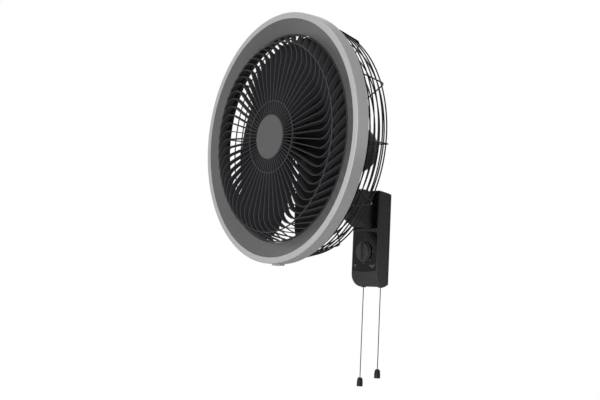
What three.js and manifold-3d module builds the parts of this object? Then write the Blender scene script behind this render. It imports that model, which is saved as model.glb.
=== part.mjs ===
// Wall fan: a wall case with a rotary knob and two pull cords, a swinging neck, and a tilting
// head with motor, three-bladed impeller, wire rear guard and spiral-ribbed front grille.
// Millimetres, +Z up. The origin is at the middle of the wall plate's back face, and the fan
// faces -Y. Sizes of the head are written in the head's own frame, whose origin is on the
// blade axis in the plane of the ring's front edge, with +Y running back towards the wall.

import * as THREE from 'three';
import { mergeVertices } from 'three/addons/utils/BufferGeometryUtils.js';
import Module from 'manifold-3d';

const wasm = await Module();
wasm.setup();

// ---------------------------------------------------------------- driving sizes: clearances
const FIT = 0.3; // between two pieces that touch
const RUN = 0.6; // round a piece that turns or slides
const BEYOND = 1000; // past every piece, for a cut that goes right through
const DEGREE = Math.PI / 180;

// ---------------------------------------------------------------- driving sizes: wall case
const CASE_HALF_WIDTH = 40;
const CASE_DEPTH = 34;
const CASE_TOP_FRONT_Z = 97;
const CASE_TOP_FALL = 5;
const CASE_WALL = 2.7;
const CASE_CHIN_RADIUS = 35;
const CASE_CHIN_TOP_Z = -65;
const CASE_EDGE = 1.6;
const REAR_CASE_DEPTH = 5;
const REAR_CASE_INSET = 1.2;
const REAR_CASE_RIM = 3.2;
const REAR_CASE_CORNER = 4;
const PLATE_THICKNESS = 2;
const PLATE_HOLE_RADIUS = 4.2;
const PLATE_HOLE_X = 22;
const PLATE_HOLE_Z = 66;
const PLATE_SLOT_RADIUS = 2.2;
const PLATE_SLOT_LENGTH = 9;
const SCOOP_Z = 19; // lower edge of the pocket, where its round floor starts
const SCOOP_RADIUS = 24;
const POCKET_WALL = 2.2;
const LID_THICKNESS = 2.4;
const PAD_TOP_Z = 28.5; // round pad under the neck's barrel
const PAD_RADIUS = 12;

// ---------------------------------------------------------------- driving sizes: control panel
const PANEL_HALF_WIDTH = 37;
const PANEL_TOP_Z = 10;
const PANEL_BOTTOM_Z = -66;
const PANEL_ARCH = 3;
const PANEL_THICKNESS = 1.8;
const PANEL_PROUD = 0.7;
const PANEL_CORNER = 3;
const KNOB_Z = -28;
const KNOB_SKIRT_RADIUS = 21.5;
const KNOB_SKIRT_HEIGHT = 1.8;
const KNOB_RADIUS = 19.5;
const KNOB_HEIGHT = 7;
const KNOB_CROWN = 0.8;
const KNOB_RIDGE_WIDTH = 5;
const KNOB_RIDGE_HEIGHT = 4.5;
const KNOB_BORE_DEPTH = 7.5;
const SWITCH_SHAFT_RADIUS = 3;
const SWITCH_HALF_WIDTH = 14;
const SWITCH_DEPTH = 12;
const SWITCH_NOSE_RADIUS = 4.6;

// ---------------------------------------------------------------- driving sizes: pull cords
const CORD_X = 26.6;
const CORD_Y = -10;
const CORD_RADIUS = 1;
const CORD_STEP = 6;
const LEFT_CORD_REACH_Z = -305.6;
const RIGHT_CORD_REACH_Z = -284.6;
const GRIP_RADIUS = 6.25;
const GRIP_HEIGHT = 18.6;
const GRIP_DOME = 4;
const BUSH_RADIUS = 3.6;
const BUSH_FLANGE_RADIUS = 5.2;
const BUSH_FLANGE_THICKNESS = 1.4;
const BUSH_HEIGHT = 7;
const PULL_ROD_RADIUS = 1.3;
const PULL_ROD_LENGTH = 36;
const PULL_SWITCH_WIDTH = 18;
const PULL_SWITCH_DEPTH = 18;
const PULL_SWITCH_TOP_Z = -60;
const PULL_SWITCH_HEIGHT = 24;
const CAPACITOR_WIDTH = 27;
const CAPACITOR_DEPTH = 16;
const CAPACITOR_TOP_Z = -55;
const CAPACITOR_HEIGHT = 30;

// ---------------------------------------------------------------- driving sizes: swing
const SWING_Y = -26;
const PIN_RADIUS = 4;
const PIN_HEAD_RADIUS = 4.9;
const PIN_HEAD_HEIGHT = 2.7;
const PIN_NUT_RADIUS = 6.5;
const PIN_NUT_HEIGHT = 2.6;
const BRACKET_HALF_WIDTH = 14;
const BRACKET_THICKNESS = 2;
const BRACKET_SHELF_THICKNESS = 2.5;
const BRACKET_SHELF_TOP_Z = 13;
const BRACKET_TOP_Z = 89.3;
const BRACKET_TONGUE_RADIUS = 7.8;
const BUSHING_WALL = 2.1;
const BUSHING_HEIGHT = 14;
const WASHER_RADIUS = 7.8;
const WASHER_THICKNESS = 1.5;
const GEAR_MODULE = 1;
const SUN_TEETH = 16;
const PLANET_TEETH = 28;
const GEAR_BOTTOM_Z = 58.5;
const GEAR_THICKNESS = 8;
const GEAR_BACKLASH = 0.5;
const SWING_MOTOR_RADIUS = 15;
const SWING_MOTOR_HEIGHT = 10.4;
const SWING_MOTOR_OFFSET = 12;
const SWING_MOTOR_SHAFT_RADIUS = 2.5;

// ---------------------------------------------------------------- driving sizes: neck
const NECK_HALF_WIDTH = 23;
const NECK_TOP_Z = 97.5;
const NECK_BEVEL = 2.5;
const NECK_BACK_Y = -40;
const NECK_TOP_SETBACK = 20; // from the tilt bolt to the front of the neck's flat top
const NECK_PASSING_Z = 93.4; // where it turns in under the case's lid, the neck is this high
const SWING_LIMIT = 30; // degrees each way
const BARREL_RADIUS = 12;
const WEB_HALF_WIDTH = 9.5;
const CHIN_START_Z = 20.5;
const CHIN_MIDDLE_Y = -60;
const CHIN_MIDDLE_Z = 30;
const CHIN_BEND_Y = -68;
const CHIN_BEND_Z = 35.5;
const NECK_NOSE_WALL = 1; // in front of the tilt boss
const NECK_WALL = 5.5;
const NECK_CAVITY_FLOOR_Z = 46.7;
const NECK_CAVITY_TOP_Z = 91;
const NECK_CAVITY_BACK_Y = -43;
const NECK_CAVITY_FRONT_Y = -78;
const NECK_LID_BACK_Y = -57;
const NECK_LID_THICKNESS = 2.2;
const NECK_LID_LEDGE = 2;
const TONGUE_HALF_WIDTH = 12;

// ---------------------------------------------------------------- driving sizes: tilt
const TILT_SETBACK = 15; // in front of the joint between the motor's two covers
const TILT_Z = -62;
const TILT_BOSS_RADIUS = 11;
const TILT_BOLT_RADIUS = 4;
const TILT_EAR_THICKNESS = 4.6;
const TILT_HEAD_RADIUS = 8;
const TILT_HEAD_HEIGHT = 4.5;

// ---------------------------------------------------------------- driving sizes: head
const HEAD_REACH = 272; // ring's front edge to the wall
const BLADE_AXIS_Z = 180;
const RING_STEPS = 40;
const MOTOR_STEPS = 24;
const CORE_STEPS = 20;
const RING_RADIUS = 245;
const RING_DEPTH = 26.3;
const RING_FACE_WIDTH = 12.1;
const RING_WALL = 2.2;
const RING_CREASE = 1;
const RING_CROWN = 0.5;
const DISH_WIDTH = 41.6; // from the ring's outside in to the dish's lip
const DISH_LIP_Y = 7.3;
const DISH_WALL = 2;
const DISH_SKIRT_STOP = 10; // from the ring's rear edge, where the guard's rim sits
const DUCT_END_Y = 44;
const LATCH_WIDTH = 26;
const LATCH_DEPTH = 13;
const LATCH_PROUD = 3;

const GRILLE_RIBS = 57;
const HUB_SIDES = 19; // three ribs to each side of the hub
const RIB_THICKNESS = 2;
const RIB_DEPTH = 12;
const RIB_CURL = 28.5; // radial width over which a rib bends over
const RIB_LEAN = 60 * DEGREE;
const GRILLE_FRONT_Y = -14;
const GRILLE_SHOULDER_Y = -11;
const GRILLE_INNER_RING_RADIUS = 70.4;
const GRILLE_OUTER_RING_INSET = 17.9; // from the dish's lip
const GRILLE_RING_WIDTH = 2;
const GRILLE_RING_DEPTH = 3;
const GRILLE_RING_SINK = 0.4;
const GRILLE_RIM_WIDTH = 2.2;
const RIM_GAP = 0.8; // between the grille's rim and the dish
const GRILLE_RIM_FRONT_Y = 5;
const GRILLE_RIM_DEPTH = 9.5;
const GRILLE_HUB_RADIUS = 44;
const GRILLE_HUB_THICKNESS = 3;
const GRILLE_HUB_WALL = 3;
const GRILLE_HUB_DEPTH = 13.4;
const GRILLE_HUB_PROUD = 0.6;
const HUB_CAP_RADIUS = 43;
const HUB_CAP_THICKNESS = 1.5;
const HUB_CAP_STEM_RADIUS = 6;

const WIRE_RADIUS = 1.8; // to the corners of its three-sided section
const WIRE_SIDES = 3;
const WELD_SINK = 0.4;
const GUARD_SPOKES = 12;
const GUARD_FIRST_SPOKE = -5 * DEGREE;
const GUARD_RIM_CLEARANCE = 3.8; // between the rim wire and the ring's wall
const GUARD_RIM_SINK = 3.8; // rim wire in front of the ring's rear edge
const GUARD_SIDE_RINGS = 5;
const GUARD_SWELL = 0.6; // the first side ring is this much wider than the rim
const GUARD_FIRST_RING_GAP = 12.5;
const GUARD_TAPER = 12.5; // the last side ring is this much narrower than the rim
const GUARD_SIDE_LENGTH = 64.5;
const GUARD_BACK_DROP = 6; // from the last side ring to the rings across the back
const GUARD_BACK_INSET = 13.7;
const GUARD_BACK_PITCH = 13;
const GUARD_BEND = 7;
const GUARD_PLATE_RADIUS = 66;
const GUARD_PLATE_THICKNESS = 2.4;
const GUARD_NUT_RADIUS = 33;
const GUARD_NUT_THICKNESS = 6;

const BLADES = 3;
const BLADE_OVERLAP = 2.6; // tip past the duct, behind its end
const BLADE_HUB_RADIUS = 36;
const BLADE_GUARD_GAP = 11; // to the middle of the rings across the back
const BLADE_DUCT_GAP = 3;
const BLADE_REAR_ANGLE = 38 * DEGREE;
const BLADE_TIP_SPAN = 54 * DEGREE;
const BLADE_ROOT_EXTRA = 34 * DEGREE;
const BLADE_CORNER = 30;
const BLADE_THICKNESS = 2.4;
const BLADE_HUB_FRONT_Y = 18;
const BLADE_HUB_BACK_Y = 64;
const BLADE_HUB_WALL = 3;
const SPINNER_RADIUS = 17;
const SPINNER_HEIGHT = 14;

const MOTOR_RADIUS = 49;
const MOTOR_WALL = 3.5;
const MOTOR_GUARD_GAP = 4.6; // behind the middle of the rings across the back
const MOTOR_CAN_LENGTH = 77.4;
const MOTOR_BOSS_RADIUS = 22;
const MOTOR_BOSS_LENGTH = 10;
const DOME_WALL = 2.4;
const DOME_SHOULDER_LENGTH = 39;
const DOME_SHOULDER_RADIUS = 47;
const DOME_LENGTH = 60;
const DOME_END_RADIUS = 32;
const SHAFT_RADIUS = 5;
const SHAFT_FRONT_Y = 10;
const SHAFT_STUB = 7.5; // behind the rear bearing
const BEARING_RADIUS = 13;
const BEARING_WIDTH = 9;
const BEARING_SET_IN = 6.4;
const REAR_BEARING_OFFSET = 57.9;
const STATOR_OFFSET = 20.4;
const STATOR_LENGTH = 32;
const STATOR_BORE_RADIUS = 29;
const WINDING_OVERHANG = 6;
const WINDING_INNER_RADIUS = 31;
const WINDING_OUTER_RADIUS = 42;
const AIR_GAP = 0.8;
const END_SHIELD_THICKNESS = 4;

// ---------------------------------------------------------------- places that follow from the sizes
const RING_INNER_RADIUS = RING_RADIUS - RING_FACE_WIDTH;
const DISH_LIP_RADIUS = RING_RADIUS - DISH_WIDTH;
const GRILLE_OUTER_RING_RADIUS = DISH_LIP_RADIUS - GRILLE_OUTER_RING_INSET;
const RIB_BEND_RADIUS = GRILLE_OUTER_RING_RADIUS - RIB_CURL;
const GUARD_RIM_RADIUS = RING_RADIUS - RING_WALL - WIRE_RADIUS - GUARD_RIM_CLEARANCE;
const GUARD_RIM_Y = RING_DEPTH - GUARD_RIM_SINK;
const GUARD_FIRST_RING_RADIUS = GUARD_RIM_RADIUS + GUARD_SWELL;
const GUARD_FIRST_RING_Y = GUARD_RIM_Y + GUARD_FIRST_RING_GAP;
const GUARD_SHOULDER_RADIUS = GUARD_RIM_RADIUS - GUARD_TAPER;
const GUARD_SHOULDER_Y = GUARD_RIM_Y + GUARD_SIDE_LENGTH;
const GUARD_BACK_Y = GUARD_SHOULDER_Y + GUARD_BACK_DROP;
const GUARD_BACK_FIRST_RADIUS = GUARD_SHOULDER_RADIUS - GUARD_BACK_INSET;
const GUARD_BACK_WIDTH = GUARD_BACK_FIRST_RADIUS - GUARD_PLATE_RADIUS;
const GUARD_BACK_RINGS = 1 + Math.floor(GUARD_BACK_WIDTH / GUARD_BACK_PITCH);
const BLADE_TIP_RADIUS = DISH_LIP_RADIUS + BLADE_OVERLAP;
const BLADE_REAR_Y = GUARD_BACK_Y - BLADE_GUARD_GAP;
const BLADE_TIP_FRONT_Y = DUCT_END_Y + BLADE_DUCT_GAP;
const MOTOR_FRONT_Y = GUARD_BACK_Y + MOTOR_GUARD_GAP;
const MOTOR_JOINT_Y = MOTOR_FRONT_Y + MOTOR_CAN_LENGTH;
const FRONT_BEARING_Y = MOTOR_FRONT_Y + BEARING_SET_IN;
const REAR_BEARING_Y = MOTOR_FRONT_Y + REAR_BEARING_OFFSET;
const STATOR_FRONT_Y = MOTOR_FRONT_Y + STATOR_OFFSET;
const SHAFT_BACK_Y = REAR_BEARING_Y + BEARING_WIDTH + SHAFT_STUB;
const DOME_SHOULDER_Y = MOTOR_JOINT_Y + DOME_SHOULDER_LENGTH;
const DOME_END_Y = MOTOR_JOINT_Y + DOME_LENGTH;
const TILT_Y = MOTOR_JOINT_Y - TILT_SETBACK;
const TILT_WORLD_Y = TILT_Y - HEAD_REACH;
const TILT_WORLD_Z = TILT_Z + BLADE_AXIS_Z;

// ---------------------------------------------------------------- finishes
function finish(color, roughness, metalness = 0) {
  return new THREE.MeshStandardMaterial({ color, roughness, metalness });
}

const FINISH = {
  blackPlastic: finish(0x2b2c2d, 0.55),
  grillePlastic: finish(0x232425, 0.45),
  glossBlack: finish(0x08090a, 0.12),
  blackPaint: finish(0x2e2f30, 0.5, 0.2),
  silverPaint: finish(0xb4b6b8, 0.4, 0.35),
  wire: finish(0x1c1d1e, 0.4, 0.4),
  steel: finish(0x8d9094, 0.35, 0.9),
  castAluminium: finish(0x6c6f72, 0.5, 0.8),
  zinc: finish(0xa9adb0, 0.4, 0.9),
  rubber: finish(0x161616, 0.8),
  nylon: finish(0xd9d6cc, 0.5),
  cord: finish(0x4a4a4a, 0.9),
  capacitor: finish(0x3a3f45, 0.6),
};

// ---------------------------------------------------------------- solid helpers
const MERGE_TOLERANCE = 1e-4;
const CURVE_SEGMENTS = 4;
const SAME_POINT = 0.01;

/** A closed solid from any closed geometry, with its faces turned outwards. */
function solidOf(geometry) {
  const bare = geometry.clone();
  bare.deleteAttribute('normal');
  bare.deleteAttribute('uv');
  const merged = mergeVertices(bare, MERGE_TOLERANCE);
  const index = merged.index.array;
  const kept = [];
  for (let i = 0; i < index.length; i += 3) {
    const [a, b, c] = [index[i], index[i + 1], index[i + 2]];
    if (a !== b && b !== c && a !== c) kept.push(a, b, c);
  }
  const vertProperties = new Float32Array(merged.attributes.position.array);
  const make = (corners) =>
    new wasm.Manifold(
      new wasm.Mesh({ numProp: 3, vertProperties, triVerts: new Uint32Array(corners) }),
    );
  const solid = make(kept);
  if (solid.volume() > 0) return solid;
  return make(kept.reverse());
}

function geometryOf(solid) {
  const mesh = solid.getMesh();
  const geometry = new THREE.BufferGeometry();
  geometry.setAttribute('position', new THREE.BufferAttribute(mesh.vertProperties, 3));
  geometry.setIndex(new THREE.BufferAttribute(mesh.triVerts, 1));
  geometry.computeVertexNormals();
  return geometry;
}

function piece(name, solid, material) {
  const mesh = new THREE.Mesh(geometryOf(solid), material);
  mesh.name = name;
  return mesh;
}

/** A shape drawn in (y, z) and extruded along X from x0 to x1. */
function extrudeX(shape, x0, x1, bevel = 0) {
  const geometry = extrude(shape, x1 - x0, bevel);
  geometry.applyMatrix4(
    new THREE.Matrix4().makeBasis(
      new THREE.Vector3(0, 1, 0),
      new THREE.Vector3(0, 0, 1),
      new THREE.Vector3(1, 0, 0),
    ),
  );
  return solidOf(geometry.translate(x0, 0, 0));
}

/** A shape drawn in (x, z) and extruded along Y from y0 to y1. */
function extrudeY(shape, y0, y1, bevel = 0) {
  const geometry = extrude(shape, y1 - y0, bevel);
  geometry.applyMatrix4(
    new THREE.Matrix4().makeBasis(
      new THREE.Vector3(1, 0, 0),
      new THREE.Vector3(0, 0, 1),
      new THREE.Vector3(0, -1, 0),
    ),
  );
  return solidOf(geometry.translate(0, y1, 0));
}

/** A shape drawn in (x, y) and extruded along Z from z0 to z1. */
function extrudeZ(shape, z0, z1, bevel = 0) {
  return solidOf(extrude(shape, z1 - z0, bevel).translate(0, 0, z0));
}

/** The points of an outline, without any that repeat the one before. */
function distinctPoints(curve) {
  const points = [];
  for (const point of curve.getPoints(CURVE_SEGMENTS)) {
    const last = points[points.length - 1];
    if (!last || point.distanceTo(last) > SAME_POINT) points.push(point);
  }
  while (points[0].distanceTo(points[points.length - 1]) < SAME_POINT) points.pop();
  return points;
}

function extrude(drawn, depth, bevel) {
  const shape = new THREE.Shape(distinctPoints(drawn));
  shape.holes = drawn.holes.map((hole) => new THREE.Path(distinctPoints(hole)));
  const geometry = new THREE.ExtrudeGeometry(shape, {
    depth: depth - 2 * bevel,
    bevelEnabled: bevel > 0,
    bevelThickness: bevel,
    bevelSize: bevel,
    bevelOffset: -bevel,
    bevelSegments: 1,
  });
  return geometry.translate(0, 0, bevel);
}

/** A closed profile of [radius, y] points revolved about the Y axis from a start angle. */
function revolveY(profile, steps, start = 0) {
  const points = profile.map(([r, y]) => new THREE.Vector2(r, y));
  points.push(points[0].clone());
  return solidOf(new THREE.LatheGeometry(points, steps, start));
}

/** A closed profile of [radius, z] points revolved about the upright line through (x, y). */
function revolveZ(profile, x, y, steps) {
  const points = profile.map(([r, z]) => new THREE.Vector2(r, z));
  points.push(points[0].clone());
  const geometry = new THREE.LatheGeometry(points, steps).rotateX(Math.PI / 2);
  return solidOf(geometry.translate(x, y, 0));
}

function box(x0, x1, y0, y1, z0, z1) {
  const geometry = new THREE.BoxGeometry(x1 - x0, y1 - y0, z1 - z0);
  return solidOf(geometry.translate((x0 + x1) / 2, (y0 + y1) / 2, (z0 + z1) / 2));
}

/** A round bar along one axis, 'x', 'y' or 'z', between two places on it. */
function bar(axis, from, to, radius, centre, steps = 18) {
  const geometry = new THREE.CylinderGeometry(radius, radius, to - from, steps);
  geometry.translate(0, (from + to) / 2, 0);
  if (axis === 'x') geometry.rotateZ(-Math.PI / 2);
  if (axis === 'z') geometry.rotateX(Math.PI / 2);
  return solidOf(geometry.translate(...centre));
}

/** A closed solid through rings of points: each ring is the same convex loop further along. */
function loft(rings) {
  const size = rings[0].length;
  const positions = rings.flat().flatMap((p) => [p.x, p.y, p.z]);
  const index = [];
  for (let i = 0; i + 1 < rings.length; i += 1) {
    for (let j = 0; j < size; j += 1) {
      const a = i * size + j;
      const b = i * size + ((j + 1) % size);
      index.push(a, b, b + size, a, b + size, a + size);
    }
  }
  const last = (rings.length - 1) * size;
  for (let j = 1; j + 1 < size; j += 1) {
    index.push(0, j + 1, j);
    index.push(last, last + j, last + j + 1);
  }
  const geometry = new THREE.BufferGeometry();
  geometry.setAttribute('position', new THREE.Float32BufferAttribute(positions, 3));
  geometry.setIndex(index);
  return solidOf(geometry);
}

function roundedRectangle(x0, x1, y0, y1, radius) {
  const shape = new THREE.Shape();
  shape.moveTo(x0 + radius, y0);
  shape.lineTo(x1 - radius, y0);
  shape.absarc(x1 - radius, y0 + radius, radius, -Math.PI / 2, 0);
  shape.lineTo(x1, y1 - radius);
  shape.absarc(x1 - radius, y1 - radius, radius, 0, Math.PI / 2);
  shape.lineTo(x0 + radius, y1);
  shape.absarc(x0 + radius, y1 - radius, radius, Math.PI / 2, Math.PI);
  shape.lineTo(x0, y0 + radius);
  shape.absarc(x0 + radius, y0 + radius, radius, Math.PI, 1.5 * Math.PI);
  return shape;
}

// ---------------------------------------------------------------- wall case
const CASE_FRONT_Y = -CASE_DEPTH;
const POCKET_HALF_WIDTH = CASE_HALF_WIDTH - CASE_WALL;
const POCKET_BACK_Y = CASE_FRONT_Y + SCOOP_RADIUS;
const CHIN_CENTRE_Y = CASE_FRONT_Y + CASE_CHIN_RADIUS;

/** Height of the case's underside at a distance y in front of the wall. */
function caseUndersideZ(y, inset = 0) {
  const radius = CASE_CHIN_RADIUS - inset;
  return CASE_CHIN_TOP_Z - Math.sqrt(radius ** 2 - (y - CHIN_CENTRE_Y) ** 2);
}

/** The case seen from its side, in (y, z), drawn in by an inset and open to the wall. */
function caseSide(inset, backY) {
  const radius = CASE_CHIN_RADIUS - inset;
  const endAngle = Math.acos((backY - CHIN_CENTRE_Y) / radius);
  const top = CASE_TOP_FRONT_Z - inset;
  const fall = (CASE_TOP_FALL * (backY - CASE_FRONT_Y)) / CASE_DEPTH;
  const shape = new THREE.Shape();
  shape.moveTo(backY, top - fall);
  shape.lineTo(CASE_FRONT_Y + inset, top);
  shape.lineTo(CASE_FRONT_Y + inset, CASE_CHIN_TOP_Z);
  shape.absarc(CHIN_CENTRE_Y, CASE_CHIN_TOP_Z, radius, Math.PI, 2 * Math.PI - endAngle);
  return shape;
}

/** Height of the case's sloping top at a distance y in front of the wall. */
function caseTopZ(y) {
  return CASE_TOP_FRONT_Z - (CASE_TOP_FALL * (y - CASE_FRONT_Y)) / CASE_DEPTH;
}

/** The pocket round the neck's barrel, in (y, z): a scooped floor, a flat back and a lid. */
function pocketSide(grow, frontY, lid) {
  const shape = new THREE.Shape();
  const back = POCKET_BACK_Y + grow;
  shape.moveTo(frontY, SCOOP_Z - grow);
  shape.lineTo(CASE_FRONT_Y, SCOOP_Z - grow);
  shape.absarc(CASE_FRONT_Y, SCOOP_Z + SCOOP_RADIUS, SCOOP_RADIUS + grow, -Math.PI / 2, 0);
  shape.lineTo(back, lid ? caseTopZ(back) - LID_THICKNESS : CASE_TOP_FRONT_Z + 10);
  shape.lineTo(frontY, lid ? caseTopZ(frontY) - LID_THICKNESS : CASE_TOP_FRONT_Z + 10);
  return shape;
}

/** The panel seen from the front: arched along its top and bowed along its bottom. */
function panelOutline(grow) {
  const half = PANEL_HALF_WIDTH + grow;
  const top = PANEL_TOP_Z + grow;
  const bottom = PANEL_BOTTOM_Z - grow;
  const shape = new THREE.Shape();
  shape.moveTo(-half, bottom + PANEL_CORNER);
  shape.quadraticCurveTo(-half, bottom, -half + PANEL_CORNER, bottom - grow / 2);
  shape.quadraticCurveTo(0, bottom - 2 * PANEL_ARCH, half - PANEL_CORNER, bottom - grow / 2);
  shape.quadraticCurveTo(half, bottom, half, bottom + PANEL_CORNER);
  shape.lineTo(half, top - PANEL_CORNER);
  shape.quadraticCurveTo(half, top, half - PANEL_CORNER, top + grow / 2);
  shape.quadraticCurveTo(0, top + 2 * PANEL_ARCH, -half + PANEL_CORNER, top + grow / 2);
  shape.quadraticCurveTo(-half, top, -half, top - PANEL_CORNER);
  return shape;
}

function makeWallPlate() {
  const margin = REAR_CASE_INSET + REAR_CASE_RIM + FIT;
  const half = CASE_HALF_WIDTH - margin;
  const top = CASE_TOP_FRONT_Z - CASE_TOP_FALL - margin;
  const bottom = caseUndersideZ(0) + margin;
  const shape = roundedRectangle(-half, half, bottom, top, REAR_CASE_CORNER - 1);
  for (const x of [-PLATE_HOLE_X, PLATE_HOLE_X]) {
    const keyhole = new THREE.Path();
    const neck = Math.asin(PLATE_SLOT_RADIUS / PLATE_HOLE_RADIUS);
    keyhole.absarc(x, PLATE_HOLE_Z, PLATE_HOLE_RADIUS, Math.PI / 2 + neck, 2.5 * Math.PI - neck);
    keyhole.absarc(x, PLATE_HOLE_Z + PLATE_SLOT_LENGTH, PLATE_SLOT_RADIUS, 0, Math.PI);
    const hole = new THREE.Path();
    hole.absarc(x, -PLATE_HOLE_Z, PLATE_SLOT_RADIUS, 0, 2 * Math.PI);
    shape.holes.push(keyhole, hole);
  }
  return extrudeY(shape, -PLATE_THICKNESS, 0);
}

function makeRearCase() {
  const half = CASE_HALF_WIDTH - REAR_CASE_INSET;
  const top = CASE_TOP_FRONT_Z - CASE_TOP_FALL - REAR_CASE_INSET;
  const bottom = caseUndersideZ(0) + REAR_CASE_INSET;
  const outer = roundedRectangle(-half, half, bottom, top, REAR_CASE_CORNER);
  const inner = roundedRectangle(
    -half + REAR_CASE_RIM,
    half - REAR_CASE_RIM,
    bottom + REAR_CASE_RIM,
    top - REAR_CASE_RIM,
    REAR_CASE_CORNER - 1,
  );
  const tray = extrudeY(outer, -REAR_CASE_DEPTH + FIT, 0);
  return tray.subtract(extrudeY(inner, -PLATE_THICKNESS - FIT, CASE_WALL));
}

function makeBaseCover() {
  const joint = -REAR_CASE_DEPTH;
  const outside = extrudeX(caseSide(0, 0), -CASE_HALF_WIDTH, CASE_HALF_WIDTH, CASE_EDGE);
  const inside = extrudeX(caseSide(CASE_WALL, 0), -POCKET_HALF_WIDTH, POCKET_HALF_WIDTH);
  const front = CASE_FRONT_Y - CASE_WALL;
  const behindPocket = extrudeX(pocketSide(POCKET_WALL, front, false), -BEYOND, BEYOND);
  const pocket = extrudeX(pocketSide(0, front, true), -POCKET_HALF_WIDTH, POCKET_HALF_WIDTH);
  const pad = bar('z', SCOOP_Z - POCKET_WALL, PAD_TOP_Z, PAD_RADIUS, [0, SWING_Y, 0], 20)
    .subtract(box(-BEYOND, BEYOND, -BEYOND, CASE_FRONT_Y, 0, BEYOND));
  const recessY = CASE_FRONT_Y - PANEL_PROUD + PANEL_THICKNESS + FIT;
  const nose = SWITCH_NOSE_RADIUS + FIT;
  let cover = outside
    .subtract(inside.subtract(behindPocket))
    .subtract(pocket)
    .add(pad)
    .subtract(box(-BEYOND, BEYOND, joint, BEYOND, -BEYOND, BEYOND))
    .subtract(extrudeY(panelOutline(FIT), front, recessY))
    .subtract(bar('y', front, CASE_FRONT_Y + 2 * CASE_WALL, nose, [0, 0, KNOB_Z]))
    .subtract(bar('z', 0, PAD_TOP_Z + 1, PIN_RADIUS + FIT, [0, SWING_Y, 0]))
    .subtract(
      box(
        -BRACKET_TONGUE_RADIUS - FIT,
        BRACKET_TONGUE_RADIUS + FIT,
        POCKET_BACK_Y - 1,
        joint,
        BRACKET_TOP_Z - BRACKET_SHELF_THICKNESS - FIT,
        BRACKET_TOP_Z + FIT,
      ),
    );
  for (const x of [-CORD_X, CORD_X]) {
    const bottom = CASE_CHIN_TOP_Z - 2 * CASE_CHIN_RADIUS;
    cover = cover.subtract(bar('z', bottom, CASE_CHIN_TOP_Z, BUSH_RADIUS + FIT, [x, CORD_Y, 0]));
  }
  return cover;
}

function makeControlPanel() {
  const front = CASE_FRONT_Y - PANEL_PROUD;
  const plate = extrudeY(panelOutline(0), front, front + PANEL_THICKNESS, 0.4);
  const back = front + PANEL_THICKNESS;
  const noseHole = bar('y', front - 1, back + 1, SWITCH_NOSE_RADIUS + FIT, [0, 0, KNOB_Z]);
  return plate.subtract(noseHole);
}

const KNOB_BACK_Y = CASE_FRONT_Y - PANEL_PROUD - FIT;
const KNOB_TOP_Y = KNOB_BACK_Y - KNOB_SKIRT_HEIGHT - KNOB_HEIGHT;
const SHAFT_TIP_Y = KNOB_BACK_Y - KNOB_BORE_DEPTH + FIT;
const SWITCH_FRONT_Y = CASE_FRONT_Y + CASE_WALL + FIT;
const SWITCH_SHAFT_BACK_Y = SWITCH_FRONT_Y + SWITCH_DEPTH / 2;

function makeSpeedKnob() {
  const skirtY = KNOB_BACK_Y - KNOB_SKIRT_HEIGHT;
  const disc = revolveY(
    [
      [0, KNOB_BACK_Y],
      [KNOB_SKIRT_RADIUS, KNOB_BACK_Y],
      [KNOB_SKIRT_RADIUS, skirtY],
      [KNOB_RADIUS, skirtY],
      [KNOB_RADIUS - 0.5, KNOB_TOP_Y + 1.2],
      [KNOB_RADIUS - 1.7, KNOB_TOP_Y],
      [0, KNOB_TOP_Y - KNOB_CROWN],
    ],
    20,
  ).translate([0, 0, KNOB_Z]);
  const reach = KNOB_RADIUS - 2.5;
  const half = KNOB_RIDGE_WIDTH / 2;
  const ridge = extrudeY(
    roundedRectangle(-half, half, KNOB_Z - reach, KNOB_Z + reach, half - 0.1),
    KNOB_TOP_Y - KNOB_RIDGE_HEIGHT,
    KNOB_TOP_Y + 1,
    0.8,
  );
  const bore = bar('y', SHAFT_TIP_Y - FIT, KNOB_BACK_Y + 1, SWITCH_SHAFT_RADIUS + FIT, [0, 0, KNOB_Z]);
  return disc.add(ridge).subtract(bore);
}

function makeRotarySwitch() {
  const half = SWITCH_HALF_WIDTH;
  const back = SWITCH_FRONT_Y + SWITCH_DEPTH;
  const body = box(-half, half, SWITCH_FRONT_Y, back, KNOB_Z - half, KNOB_Z + half);
  const noseTip = CASE_FRONT_Y - PANEL_PROUD + FIT;
  const nose = bar('y', noseTip, SWITCH_FRONT_Y + 1, SWITCH_NOSE_RADIUS, [0, 0, KNOB_Z]);
  const bore = bar('y', noseTip - 1, SWITCH_SHAFT_BACK_Y + FIT, SWITCH_SHAFT_RADIUS + FIT, [0, 0, KNOB_Z]);
  const spineBack = -REAR_CASE_DEPTH - FIT;
  const spine = box(-half / 2, half / 2, back - 1, spineBack, KNOB_Z - half / 2, KNOB_Z + half / 2);
  return body.add(nose).add(spine).subtract(bore);
}

function makeSwitchShaft() {
  return bar('y', SHAFT_TIP_Y, SWITCH_SHAFT_BACK_Y, SWITCH_SHAFT_RADIUS, [0, 0, KNOB_Z], 20);
}

// ---------------------------------------------------------------- pull cords
const FLANGE_TOP_Z = caseUndersideZ(CORD_Y + BUSH_FLANGE_RADIUS) - FIT;
const BUSH_MOUTH_Z = FLANGE_TOP_Z - BUSH_FLANGE_THICKNESS;
const ROD_END_Z = BUSH_MOUTH_Z - FIT;
const CORD_TOP_Z = ROD_END_Z - FIT;

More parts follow.
